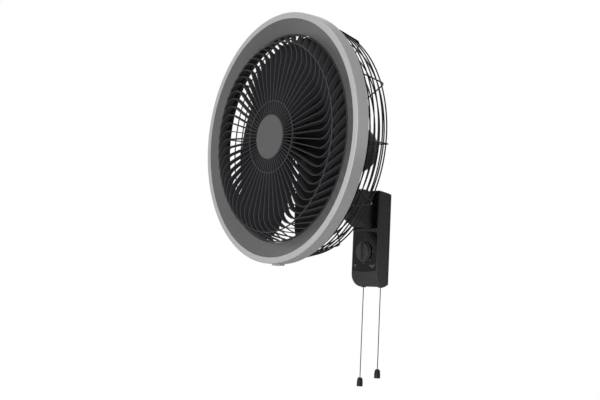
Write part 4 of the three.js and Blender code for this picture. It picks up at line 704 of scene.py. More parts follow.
# ---------------------------------------------------------------- camera, light and floor
@dataclass
class Studio:
    """Camera, lamps, world and floor.

    Attributes:
        azimuth: Direction of view in degrees: 0 looks along +Y and 90 along -X.
        elevation: Height of the camera above the object, in degrees.
        roll: Turn of the picture about the line of sight, in degrees.
        eye: Place of the camera in metres.
        lens: Focal length on a sensor 36 mm wide, in millimetres.
        floor_z: Height of the floor in metres.
        floor_half: Half the floor's side in metres, so that the camera sees past it.
    """

    azimuth: float = 52.81
    elevation: float = -4.75
    roll: float = 2.54
    eye: tuple[float, float, float] = (1.7215, -1.5126, -0.1158)
    lens: float = 66.0
    floor_z: float = -1.3
    floor_half: float = 6.0

    def camera(self) -> None:
        """Aims the camera.

        Its back axis is b = (sin A cos E, -cos A cos E, sin E), its right axis is (cos A, sin A, 0)
        and its up axis b x right, both then turned about b by the roll.
        """
        turn, rise, roll = (math.radians(v) for v in (self.azimuth, self.elevation, self.roll))
        back = Vector((math.sin(turn) * math.cos(rise), -math.cos(turn) * math.cos(rise), math.sin(rise)))
        right = Vector((math.cos(turn), math.sin(turn), 0.0))
        up = back.cross(right)
        level = Matrix((right, up, back)).transposed()
        camera = bpy.data.cameras.new("camera")
        camera.sensor_width = 36.0
        camera.lens = self.lens
        camera.clip_end = 100.0
        holder = bpy.data.objects.new("camera", camera)
        holder.matrix_world = Matrix.Translation(self.eye) @ (level @ Matrix.Rotation(roll, 3, "Z")).to_4x4()
        bpy.context.scene.collection.objects.link(holder)
        bpy.context.scene.camera = holder

    def lamp(self, name: str, place: tuple, target: tuple, size: float, watts: float) -> None:
        """A square area lamp at a place in metres, turned to a target.

        Args:
            name: Its name.
            place: Where it stands.
            target: What it points at.
            size: Its side in metres.
            watts: Its power.
        """
        lamp = bpy.data.lights.new(name, "AREA")
        lamp.size = size
        lamp.energy = watts
        holder = bpy.data.objects.new(name, lamp)
        aim = Vector(target) - Vector(place)
        holder.rotation_euler = aim.to_track_quat("-Z", "Y").to_euler()
        holder.location = place
        bpy.context.scene.collection.objects.link(holder)

    def world(self, level: float) -> None:
        """A grey world that shows as white to the camera, to gloss and through clear parts.

        Args:
            level: Strength of the soft grey light.
        """
        world = bpy.data.worlds.new("studio")
        bpy.context.scene.world = world
        world.use_nodes = True
        tree = world.node_tree
        soft = tree.nodes["Background"]
        plug(tree, soft, {"Color": WHITE, "Strength": level})
        white = add_node(tree, "Background", {"Color": WHITE, "Strength": 1.0})
        path = add_node(tree, "LightPath", {})
        seen = path.outputs["Is Camera Ray"]
        for kind in ("Is Glossy Ray", "Is Transmission Ray"):
            seen = add_node(tree, "Math", {0: seen, 1: path.outputs[kind]}, operation="MAXIMUM").outputs[0]
        choice = add_node(tree, "MixShader", {"Fac": seen, 1: soft.outputs["Background"],
                                              2: white.outputs["Background"]})
        plug(tree, tree.nodes["World Output"], {"Surface": choice.outputs["Shader"]})

    def floor(self) -> None:
        """A plain pale floor well below the hanging fan."""
        half, z = self.floor_half / METRE, self.floor_z / METRE
        corners = np.array([[-half, -half, z], [half, -half, z], [half, half, z], [-half, half, z]])
        floor = mesh_object("floor", Shell(corners, [(0, 1, 2, 3)]))
        material = bpy.data.materials.new("floor")
        material.use_nodes = True
        tree = material.node_tree
        plug(tree, tree.nodes["Principled BSDF"], {"Base Color": (0.9, 0.9, 0.9, 1.0), "Roughness": 0.9})
        floor.data.materials.append(material)

    def build(self) -> None:
        """Sets up the whole studio."""
        self.camera()
        self.world(0.12)
        self.lamp("key", (1.4, -2.9, 0.5), (0.0, -0.2, 0.1), 1.0, 50.0)
        self.lamp("low", (0.8, -2.2, -1.0), (0.0, -0.1, -0.05), 1.0, 24.0)
        self.lamp("top", (0.2, -0.6, 2.6), (0.0, -0.2, 0.1), 1.6, 9.0)
        self.lamp("back", (-1.6, 2.4, 1.4), (0.0, -0.2, 0.1), 1.6, 16.0)
        self.floor()
        bpy.context.scene.view_settings.view_transform = "Standard"


# ---------------------------------------------------------------- pull cords
@dataclass
class PullCord:
    """One pull cord with its grip.

    Attributes:
        side: "left" or "right".
        body: The body it moves with.
        x: Its place across the case.
        grip_top: Height of the top of its grip.
    """

    side: str
    body: Body
    x: float
    grip_top: float
    y: float = -10.0
    cord_top: float = -101.8
    radius: float = 1.0
    gap: float = 0.3
    grip_radius: float = 6.25
    grip_height: float = 18.6

    def build(self) -> None:
        grip = make(f"{self.side}_grip", self.grip(), GRIP_PLASTIC, self.body, "black_plastic",
                    f"{self.side}_pull_grip")
        shell, route = self.cord()
        cord = make(f"{self.side}_cord", shell, BRAID, self.body, "cord_fabric", f"{self.side}_pull_cord")

    def cord(self) -> tuple[Shell, Points]:
        """The straight cord: point (i, j) is the route's point i plus a circle, u metres along it.

        Returns:
            The tube in millimetres, with u along it in metres and v once round, and its route in metres.
        """
        steps, sides = 48, 16
        height = np.linspace(self.cord_top, self.grip_top + self.gap, steps)
        turn = np.linspace(0.0, 2 * np.pi, sides + 1)
        route = np.stack([np.full(steps, self.x), np.full(steps, self.y), height], -1)
        ring = self.radius * np.stack([np.cos(turn), np.sin(turn), np.zeros(sides + 1)], -1)
        shell = grid(route[:, None] + ring[None])
        along = np.broadcast_to((self.cord_top - height)[:, None] * METRE, (steps, sides + 1))
        around = np.broadcast_to(turn[None] / (2 * np.pi), (steps, sides + 1))
        last = (steps - 1) * (sides + 1)
        shell.faces.append(tuple(range(sides)))
        shell.faces.append(tuple(range(last, last + sides)))
        shell.uv = np.stack([along, around], -1).reshape(-1, 2)
        return shell, route * METRE

    def grip(self) -> Shell:
        """The bell-shaped grip: its profile turned about the cord, with a hollow under it.

        Returns:
            The closed grip.
        """
        r, low, high = self.grip_radius, self.grip_top - self.grip_height, self.grip_top
        profile = [
            (0.0, high), (r * 0.42, high), (r * 0.82, high - 2.2), (r * 0.97, high - 5.5),
            (r * 0.9, high - 6.4), (r * 0.9, high - 7.2), (r, high - 8.2), (r, low),
            (r - 1.6, low), (r - 2.0, low + 3.0), (0.0, low + 3.4),
        ]
        rounding = [0, 1.2, 2.0, 0.6, 0.3, 0.3, 0.6, 0.6, 0.4, 0.8, 0]
        outline = soften(profile, rounding)
        return revolved(outline, (self.x, self.y, 0.0), Axis.Z, 48)


# ---------------------------------------------------------------- wall case
@dataclass
class WallCase:
    """The case on the wall: its cover, control panel, printed marks and knob."""

    half_width: float = 40.0
    front: float = -34.0
    joint: float = -5.0
    top_front: float = 97.0
    top_fall: float = 5.0
    wall: float = 2.7
    chin_radius: float = 27.0
    chin_top: float = -73.0
    foot_back: float = -95.6
    edge: float = 2.4
    pocket_half: float = 37.3
    scoop_z: float = 19.0
    scoop_radius: float = 24.0
    pocket_wall: float = 2.2
    lid: float = 2.4
    pad_top: float = 28.5
    pad_radius: float = 12.0
    swing_y: float = -26.0
    panel_half: float = 37.0
    panel_top: float = 10.0
    panel_bottom: float = -66.0
    panel_arch: float = 3.0
    panel_corner: float = 3.0
    panel_front: float = -34.7
    panel_back: float = -32.9
    knob_z: float = -28.0
    knob_back: float = -35.0
    skirt_radius: float = 21.5
    knob_radius: float = 19.5
    cord_x: float = 26.6
    cord_y: float = -10.0
    cord_hole: float = 3.9
    shaft_hole: float = 4.9
    pin_hole: float = 4.3
    knob_bore: float = 3.3
    flutes: int = 48
    flute_depth: float = 0.25
    ink_proud: float = 0.06

    def top_z(self, y: float) -> float:
        """Height of the sloping top at a distance y in front of the wall."""
        return self.top_front - self.top_fall * (y - self.front) / -self.front

    def side(self, inset: float, back: float) -> Points:
        """The case seen from its side, in (y, z).

        The front is straight, the top slopes down to the wall, and the round chin runs into an
        underside that rises to the wall.

        Args:
            inset: How far inside the outer skin it runs.
            back: The y at which it ends.

        Returns:
            Its corners, the back of the top first.
        """
        centre = (self.front + self.chin_radius, self.chin_top)
        radius = self.chin_radius - inset
        top = [(back, self.top_z(back) - inset), (self.front + inset, self.top_front - inset)]
        rounded = soften(np.array([*top, (self.front + inset, self.chin_top)]), [0, 1.6, 0], closed=False)
        chin = arc(centre, radius, 180.0, 262.0, 26)[1:]
        share = (back - chin[-1, 0]) / -chin[-1, 0]
        foot = [(back, chin[-1, 1] + share * (self.foot_back + inset - chin[-1, 1]))]
        return np.concatenate([rounded, chin, foot])

    def pocket(self, grow: float, front: float, lid: bool) -> Points:
        """The pocket round the neck's barrel, in (y, z): scooped floor, flat back and lid.

        Args:
            grow: How much larger than the pocket it is.
            front: The y at which it starts.
            lid: Whether the case's top closes it.

        Returns:
            Its corners.
        """
        back = self.front + self.scoop_radius + grow
        floor = arc((self.front, self.scoop_z + self.scoop_radius), self.scoop_radius + grow, -90, 0, 20)
        high = self.top_front + 10
        ends = (self.top_z(back) - self.lid, self.top_z(front) - self.lid) if lid else (high, high)
        return np.concatenate([[(front, self.scoop_z - grow)], floor, [(back, ends[0]), (front, ends[1])]])

    def panel_outline(self, grow: float) -> Points:
        """The panel seen from the front, in (x, z).

        Its top and bottom are parabolas z = edge +- arch (1 - (x / half)^2), and its corners are cut
        round.

        Args:
            grow: How much larger than the panel it is.

        Returns:
            Its corners.
        """
        half = self.panel_half + grow
        across = np.linspace(-half, half, 25)
        bow = self.panel_arch * (1 - (across / half) ** 2)
        low = np.stack([across, self.panel_bottom - grow - bow], -1)
        high = np.stack([across[::-1], self.panel_top + grow + bow[::-1]], -1)
        corners = np.zeros(50)
        corners[[0, 24, 25, 49]] = self.panel_corner
        return soften(np.concatenate([low, high]), corners)

    def cover(self) -> None:
        """The moulded cover with its scooped pocket, panel recess and pivot pad."""
        cover = mesh_object("case_cover", slab(self.side(0, self.joint), -self.half_width,
                                               self.half_width, self.edge, Axis.X, 6))
        far, near = self.front - 10, self.front - self.wall
        hollow = mesh_object("case_hollow", slab(self.side(self.wall, self.joint + 4), -self.pocket_half,
                                                 self.pocket_half, 0, Axis.X))
        combine(hollow, [slab(self.pocket(self.pocket_wall, near, False), -200, 200, 0, Axis.X)])
        merge(cover, hollow, Join.CUT)
        combine(cover, [slab(self.pocket(0, near, True), -self.pocket_half, self.pocket_half, 0, Axis.X)])
        ring = arc((0, self.swing_y), self.pad_radius, 0, 360, 65)[:-1]
        ring[:, 1] = np.maximum(ring[:, 1], self.front + 0.6 + 0.01 * np.arange(64) / 64)
        combine(cover, [slab(ring, self.scoop_z - 1.6, self.pad_top, 0.5, Axis.Z)], Join.ADD)
        combine(cover, [
            slab(self.panel_outline(0.3), far, self.panel_back + 0.3, 0, Axis.Y),
            bar(Axis.Y, far, self.front + 2 * self.wall, self.shaft_hole, (0, self.knob_z)),
            bar(Axis.Z, 0, self.pad_top + 1, self.pin_hole, (0, self.swing_y)),
            block((-8.1, -11.0, 86.5), (8.1, self.joint + 5, 89.6)),
            *[bar(Axis.Z, -140, -65, self.cord_hole, (x, self.cord_y), sides=32)
              for x in (-self.cord_x, self.cord_x)],
        ])
        bevel(cover, 0.5)
        shade(cover, 32)
        dress(cover, CASE_PLASTIC, Body.WALL_CASE, "black_plastic", "base_cover")

    def panel(self) -> None:
        """The glossy panel, with the hole for the switch's shaft."""
        panel = mesh_object("panel_plate", slab(self.panel_outline(0), self.panel_front, self.panel_back,
                                                0.5, Axis.Y))
        combine(panel, [bar(Axis.Y, -40, -30, self.shaft_hole, (0, self.knob_z))])
        shade(panel, 32)
        dress(panel, PANEL_GLOSS, Body.WALL_CASE, "gloss_black", "control_panel")

    def knob(self) -> None:
        """The speed knob: a skirt, a crowned disc with a fluted edge and a finger bar."""
        back = self.knob_back
        profile = soften(
            [(0, back), (self.skirt_radius, back), (self.skirt_radius, back - 1.8),
             (self.knob_radius, back - 1.9), (self.knob_radius - 0.4, back - 6.2), (0, back - 7.0)],
            [0, 0.4, 0.6, 0.4, 1.4, 0], 6)
        side = (np.abs(profile[:, 0] - self.knob_radius) < 0.5) & (profile[:, 1] < back - 2.2)
        flute = np.where(side, self.flute_depth * np.cos(self.flutes * ROUND_TURN), 0.0)
        knob = mesh_object("knob_disc", revolved(profile, (0, 0, self.knob_z), ripple=flute))
        reach = self.knob_radius - 2.5
        outline = soften([(-2.5, self.knob_z - reach), (2.5, self.knob_z - reach),
                          (2.5, self.knob_z + reach), (-2.5, self.knob_z + reach)], 2.3)
        combine(knob, [slab(outline, back - 10.8, back - 5.5, 1.0, Axis.Y)], Join.ADD)
        groove = block((-0.45, back - 12, self.knob_z + 4), (0.45, back - 10.4, self.knob_z + reach - 1.5))
        combine(knob, [groove, bar(Axis.Y, back - 5.5, back + 1, self.knob_bore, (0, self.knob_z))])
        shade(knob, 30)
        dress(knob, KNOB_PLASTIC, Body.KNOB, "black_plastic", "speed_knob")

    def printing(self) -> None:
        """The dial's five figures, and a word with a pointer over each pull cord."""
        ring = self.skirt_radius + 3.6
        shells = []
        for step, figure in enumerate("01234"):
            angle = math.radians(90 - 45 * step)
            place = (ring * math.cos(angle), self.knob_z + ring * math.sin(angle))
            shells += self.lettering(figure, place, 2.5)
        for side, word in ((-1, "OFF"), (1, "ON-OFF")):
            place = (side * self.cord_x, self.panel_bottom + 9.0)
            shells += self.lettering(word, place, 3.0)
            x, z = place[0], place[1] - 3.0
            pointer = np.array([(x - 1.2, z), (x, z - 2.0), (x + 1.2, z)])
            shells.append(slab(pointer, *self.ink_span(), 0, Axis.Y))
        make("printing", shells[0].joined(*shells[1:]), PRINT_INK, Body.WALL_CASE, "pale_nylon")

    def ink_span(self) -> tuple[float, float]:
        """Where the ink starts and ends in y: a little proud of the panel, and inside it."""
        return self.panel_front - self.ink_proud, self.panel_front + 5 * self.ink_proud

    def lettering(self, word: str, place: tuple[float, float], height: float) -> list[Shell]:
        """Flat strokes of a word.

        Args:
            word: What it says.
            place: Middle of the word in (x, z).
            height: Height of its letters.

        Returns:
            One thin closed shell for each stroke.
        """
        size = height / 6.0
        pitch = 5.2 * size
        start = place[0] - 0.5 * (len(word) * pitch - 1.2 * size)
        strokes = []
        for number, letter in enumerate(word):
            for line in GLYPHS[letter]:
                path = np.array(line, float) * size
                path += (start + number * pitch, place[1] - height / 2)
                strokes.append(self.stroke(soften(path, 0.9 * size, 4, closed=False), 0.2 * height / 3))
        return strokes

    def stroke(self, path: Points, half: float) -> Shell:
        """A flat stroke: the path moved half its width to either side, just proud of the panel.

        Args:
            path: Middle line in (x, z).
            half: Half the stroke's width.

        Returns:
            The closed stroke.
        """
        along = np.gradient(path, axis=0)
        along /= np.linalg.norm(along, axis=1, keepdims=True)
        side = np.stack([-along[:, 1], along[:, 0]], -1) * half
        front, back = self.ink_span()
        loops = [(path - side, front), (path + side, front), (path + side, back), (path - side, back)]
        rows = [np.stack([edge[:, 0], np.full(len(edge), y), edge[:, 1]], -1) for edge, y in loops]
        return sleeve(np.stack(rows, 1))

    def rear(self) -> None:
        """The back half of the case, a little smaller than the cover all round."""
        step = self.half_width - 1.0
        front = self.joint + 0.3
        low = self.side(1.0, front)[-1, 1]
        outline = np.array([(0.0, self.top_z(0.0) - 1), (front, self.top_z(front) - 1), (front, low),
                            (0.0, self.foot_back + 1)])
        rear = mesh_object("case_back", slab(outline, -step, step, 0.8, Axis.X))
        combine(rear, [
            slab(self.side(self.wall + 1.0, 6.0), -self.pocket_half + 1, self.pocket_half - 1, 0, Axis.X),
            block((-8.1, self.joint - 1, 86.2), (8.1, self.joint + 2.4, 89.9)),
        ])
        dress(rear, CASE_PLASTIC, Body.WALL_CASE, "black_plastic", "rear_case")

    def build(self) -> None:
        """Makes every piece of the case."""
        self.cover()
        self.rear()
        self.panel()
        self.printing()
        self.knob()


# ---------------------------------------------------------------- neck
@dataclass
class Neck:
    """The swinging neck: a hollow arm from the barrel up to the tilt bolt, and its lid."""

    half_width: float = 23.0
    top: float = 97.5
    lid_bottom: float = 95.3
    back: float = -40.0
    edge: float = 3.0
    swing_y: float = -26.0
    case_front: float = -34.0
    passing_z: float = 93.4
    swing_limit: float = 30.0
    tilt_y: float = -112.0
    tilt_z: float = 118.0
    boss_radius: float = 11.0
    tongue: float = 12.0
    barrel_low: float = 30.6
    barrel_high: float = 86.2
    barrel_radius: float = 12.0
    barrel_half: float = 9.5
    bush_hole: float = 7.0
    bolt_hole: float = 4.3
    drive_low: float = 57.9
    drive_high: float = 67.1
    sun_room: float = 9.6
    planet_room: float = 15.6
    planet_y: float = -48.0
    motor_room: tuple[float, float] = (-78.0, -43.0)
    opening: tuple[float, float] = (-78.0, -59.0)
    lid_seat: tuple[float, float] = (-80.3, -56.7)

    def side(self) -> Points:
        """The arm seen from its side, in (y, z), rounded at its nose and its chin.

        Returns:
            Its corners.
        """
        nose = self.tilt_y - self.boss_radius - 1
        high = self.tilt_z - self.boss_radius - 6
        corners = [(self.back, 20.5), (self.back, self.top), (self.tilt_y + 20, self.top),
                   (nose, high), (nose + 5, 62.5), (-70, 33), (-50, 20.5)]
        return soften(corners, [0, 0, 3, 9, 18, 14, 9], 8)

    def build(self) -> None:
        """Makes the arm and its lid."""
        arm = mesh_object("neck_shell", slab(self.side(), -self.half_width, self.half_width, self.edge,
                                             Axis.X, 6))
        reach = self.swing_y - self.case_front + 0.6
        room = block((-200, -reach, self.passing_z), (200, 200, 300))
        for turn in (-self.swing_limit, self.swing_limit):
            spin = Matrix.Rotation(math.radians(turn), 3, "Z")
            turned = room.points @ np.array(spin).T + (0, self.swing_y, 0)
            combine(arm, [Shell(turned, room.faces)])
        combine(arm, [
            bar(Axis.Z, self.barrel_low, self.barrel_high, self.barrel_radius, (0, self.swing_y), 0.6),
            block((-self.barrel_half, self.back - 1, self.barrel_low),
                  (self.barrel_half, self.swing_y, self.barrel_high)),
            bar(Axis.X, -self.tongue, self.tongue, self.boss_radius, (self.tilt_y, self.tilt_z), 0.6),
            block((-self.tongue, self.tilt_y - 11, self.tilt_z - 33),
                  (self.tongue, self.tilt_y + 11, self.tilt_z)),
        ], Join.ADD)
        combine(arm, [
            block((-17.5, self.motor_room[0], 46.7), (17.5, self.motor_room[1], 91)),
            block((-16.5, self.opening[0], 90), (16.5, self.opening[1], self.top + 1)),
            bar(Axis.Z, self.drive_low, self.drive_high, self.sun_room, (0, self.swing_y)),
            bar(Axis.Z, self.drive_low, self.drive_high, self.planet_room, (0, self.planet_y)),
            block((-18.8, self.lid_seat[0], 95.0), (18.8, self.lid_seat[1], self.top + 1)),
            bar(Axis.Z, 0, self.barrel_high, self.bush_hole, (0, self.swing_y)),
            bar(Axis.X, -100, 100, self.bolt_hole, (self.tilt_y, self.tilt_z)),
        ])
        bevel(arm, 0.4)
        shade(arm, 32)
        dress(arm, NECK_PLASTIC, Body.NECK, "black_plastic", "neck_arm")
        front, back = self.lid_seat[0] + 0.3, self.lid_seat[1] - 0.3
        lid = soften([(-18.5, front), (18.5, front), (18.5, back), (-18.5, back)], 2.0)
        plate = slab(lid, self.lid_bottom, self.top, 0.5, Axis.Z)
        make("neck_cap", plate, NECK_PLASTIC, Body.NECK, "black_plastic", "neck_lid")


# ---------------------------------------------------------------- head
@dataclass
class HeadRing:
    """The silver ring, the dark dish inside it and the latch below."""

    radius: float = 245.0
    depth: float = 26.3
    inner: float = 232.9
    wall: float = 2.2
    lip_radius: float = 203.4
    lip_y: float = 11.5
    duct_end: float = 30.0
    latch_half: float = 13.0
    latch_depth: float = 13.0
    latch_rise: float = 2.6
    latch_pitch: float = 2.6

    def silver(self) -> Shell:
        """The ring's profile, an L whose outer corner is creased, turned about the blade axis.

        Returns:
            The closed ring.
        """
        r = self.radius
        profile = [(self.inner, -0.5), (r - 1.0, -0.25), (r, 1.0), (r, self.depth),
                   (r - self.wall, self.depth), (r - self.wall, 1.9), (self.inner, 1.9)]
        return revolved(soften(profile, [0.5, 0.35, 0.35, 0.6, 0.4, 0.4, 0.3]), HEAD_CENTRE)

    def dish(self) -> Shell:
        """The dish falls from the ring to a rounded lip, then runs back as a short duct.

        Returns:
            The closed dish with its duct.
        """
        edge, skirt = self.inner - 0.3, self.radius - self.wall - 0.3
        lip = self.lip_radius
        profile = [(edge, 0.0), (lip, self.lip_y), (lip, self.duct_end), (lip + 2, self.duct_end),
                   (lip + 2, self.lip_y + 2), (skirt - 1.9, 4.6), (skirt - 1.9, 16.3), (skirt, 16.3),
                   (skirt, 2.2), (edge, 2.2)]
        return revolved(soften(profile, [0.4, 1.6, 0.5, 0.5, 1.0, 1.0, 0.4, 0.4, 0.4, 0.4], 8), HEAD_CENTRE)

    def latch(self) -> Shell:
        """The latch hood under the ring, curved with it and ridged across for the thumb.

        Point (i, j) lies at angle a_i and at the radius r_j of a hood profile whose top is raised by
        0.35 cos(2 pi y / pitch), with y from the hood's middle, for the ridges.

        Returns:
            The closed hood.
        """
        half = self.latch_half / self.radius
        turn = np.linspace(-half, half, 41)
        front, back = self.depth - self.latch_depth, self.depth
        y = np.concatenate([[front], np.linspace(front + 0.6, back - 0.6, 61), [back]])
        wave = 2 * np.pi * (y - (front + back) / 2) / self.latch_pitch
        rise = np.full(63, self.latch_rise) + 0.35 * np.cos(wave)
        rise[[0, -1]] = 0.3
        side = np.clip((half - np.abs(turn)) / (0.14 * half), 0.0, 1.0) ** 0.5
        radius = self.radius + 0.3 + rise[None] * side[:, None]
        angle = -np.pi / 2 + turn[:, None]
        top = np.stack([radius * np.cos(angle), np.broadcast_to(y, radius.shape), radius * np.sin(angle)], -1)
        low = self.radius + 0.2
        base = np.stack([low * np.cos(angle) + 0 * radius, np.broadcast_to(y, radius.shape),
                         low * np.sin(angle) + 0 * radius], -1)
        loops = np.concatenate([top, base[:, ::-1]], 1)
        return sleeve(loops).moved(HEAD_CENTRE)

    def build(self) -> None:
        """Makes the three pieces."""
        make("ring_band", self.silver(), SILVER_PAINT, Body.HEAD, "silver_plastic", "silver_ring", smooth=25)
        make("dish", self.dish(), DISH_PLASTIC, Body.HEAD, "grille_plastic", "dish_ring", smooth=35)
        make("latch_hood", self.latch(), SILVER_PAINT, Body.HEAD, "silver_plastic", "ring_latch")


@dataclass
class FrontGrille:
    """The spiral-ribbed grille: a hub, thin deep ribs that sweep over near the rim, and rings."""

    ribs: int = 57
    hub_radius: float = 44.0
    bend_radius: float = 150.0
    ring_radius: float = 185.5
    small_ring: float = 70.4
    rim_radius: float = 201.5
    rim_half: float = 1.1
    lean: float = math.radians(67.0)
    front: float = -14.0
    shoulder: float = -11.0
    shoulder_radius: float = 187.5
    rim_front: float = 10.0
    depth: float = 12.0
    thickness: float = 1.8

    def front_y(self, radius: Points) -> Points:
        """Front edge of the ribs: front + 3 (r / 187.5)^3, then a steepening fall to the rim.

        Args:
            radius: Radii from the blade axis.

        Returns:
            The y of the front edge at each.
        """
        crown = self.front + (self.shoulder - self.front) * (radius / self.shoulder_radius) ** 3
        share = (radius - self.shoulder_radius) / (self.rim_radius - self.rim_half - self.shoulder_radius)
        fall = self.shoulder + (self.rim_front - self.shoulder) * np.clip(share, 0.0, 1.1) ** 1.3
        return np.where(radius <= self.shoulder_radius, crown, fall)

    def sweep(self, radius: Points) -> tuple[Points, Points]:
        """Turn and lean of a rib: the lean ramps up past the bend, and the turn is its integral.

        Args:
            radius: Rising radii.

        Returns:
            The rib's angle about the axis at each radius, from the sum of tan(lean) / r, and its lean.
        """
        lean = self.lean * np.clip((radius - self.bend_radius) / (self.ring_radius - self.bend_radius), 0, 1)
        rate = np.tan(lean) / radius
        steps = 0.5 * (rate[1:] + rate[:-1]) * np.diff(radius)
        return np.concatenate([[0.0], np.cumsum(steps)]), lean

    def rib_bodies(self) -> Shell:
        """All ribs: stations along each, and round each station a thin deep section.

        Station s of rib n is (r cos a, y, r sin a) with a = 2 pi n / 57 + turn(r). The section runs
        across it, square to the leaning rib, and back from a rounded front edge.

        Returns:
            The ribs, placed about the head's own centre.
        """
        radius = np.concatenate([np.linspace(self.hub_radius - 2, self.bend_radius, 12),
                                 np.linspace(self.bend_radius + 3, self.rim_radius - 0.1, 26)])
        turn, lean = self.sweep(radius)
        first = 2 * np.pi * np.arange(self.ribs)[:, None] / self.ribs
        angle = first + turn[None]
        square = angle + lean[None] + np.pi / 2
        front = self.front_y(radius)
        back = np.minimum(front + self.depth, 15.5)
        half = self.thickness / 2
        across = half * np.array([-0.75, -0.92, -1.0, -0.6, 0.0, 0.6, 1.0, 0.92, 0.75])
        nose = np.array([0.0, 0.0, 1.0, 0.25, 0.0, 0.25, 1.0, 0.0, 0.0])
        is_back = np.array([1, 0, 0, 0, 0, 0, 0, 0, 1], bool)
        is_middle = np.array([0, 1, 0, 0, 0, 0, 0, 1, 0], bool)
        y = front[:, None] + nose[None]
        y = np.where(is_back[None], back[:, None], y)
        y = np.where(is_middle[None], 0.5 * (front + back)[:, None], y)
        x = radius[:, None] * np.cos(angle)[..., None] + across * np.cos(square)[..., None]
        z = radius[:, None] * np.sin(angle)[..., None] + across * np.sin(square)[..., None]
        points = np.stack([x, np.broadcast_to(y[None], x.shape), z], -1)
        bodies = [sleeve(rib) for rib in points]
        return bodies[0].joined(*bodies[1:])

    def thin_ring(self, radius: float) -> Shell:
        """A thin ring with a rounded front, just behind the ribs' front edges.

        Args:
            radius: Its middle radius.

        Returns:
            The closed ring.
        """
        y = float(self.front_y(np.array(radius))) + 0.3
        profile = [(radius - 1, y), (radius + 1, y), (radius + 1, y + 3), (radius - 1, y + 3)]
        return revolved(soften(profile, [0.7, 0.7, 0.2, 0.2]), (0, 0, 0))

    def hub(self) -> Shell:
        """The hub: a plate with a bore and a wall, as one turned profile.

        Returns:
            The closed hub.
        """
        y = self.front - 0.6
        profile = [(6.3, y), (self.hub_radius, y), (self.hub_radius, y + 13.4), (41, y + 13.4),
                   (41, y + 3), (6.3, y + 3)]
        return revolved(soften(profile, [0.2, 0.8, 0.4, 0.4, 0.6, 0.2]), (0, 0, 0))

    def rim(self) -> Shell:
        """The rim behind the dish's lip.

        Returns:
            The closed rim.
        """
        low, high = self.rim_radius - self.rim_half, self.rim_radius + self.rim_half
        profile = [(low, 11.0), (high, 11.0), (high, 16.5), (low, 16.5)]
        return revolved(soften(profile, 0.6), (0, 0, 0))

    def cap(self) -> Shell:
        """The plain hub disc, a little crowned, with a fine step round its edge.

        Returns:
            The closed disc.
        """
        y = self.front - 0.9
        profile = [(0, y - 1.9), (39.5, y - 1.62), (40.2, y - 1.3), (41.0, y - 1.3), (41.6, y - 1.5),
                   (43, y - 1.1), (43, y), (6, y), (6, y + 5), (0, y + 5)]
        return revolved(soften(profile, [0, 0.5, 0.3, 0.3, 0.3, 0.6, 0.2, 0, 0.3, 0]), HEAD_CENTRE)

    def build(self) -> None:
        """Makes the grille and the hub disc."""
        grille = self.rib_bodies().joined(
            self.hub(), self.rim(), self.thin_ring(self.small_ring), self.thin_ring(self.ring_radius))
        make("grille", grille.moved(HEAD_CENTRE), GRILLE_PLASTIC, Body.HEAD, "grille_plastic",
             "front_grille", smooth=50)
        make("hub_disc", self.cap(), HUB_PLASTIC, Body.HEAD, "black_plastic", "hub_cap")


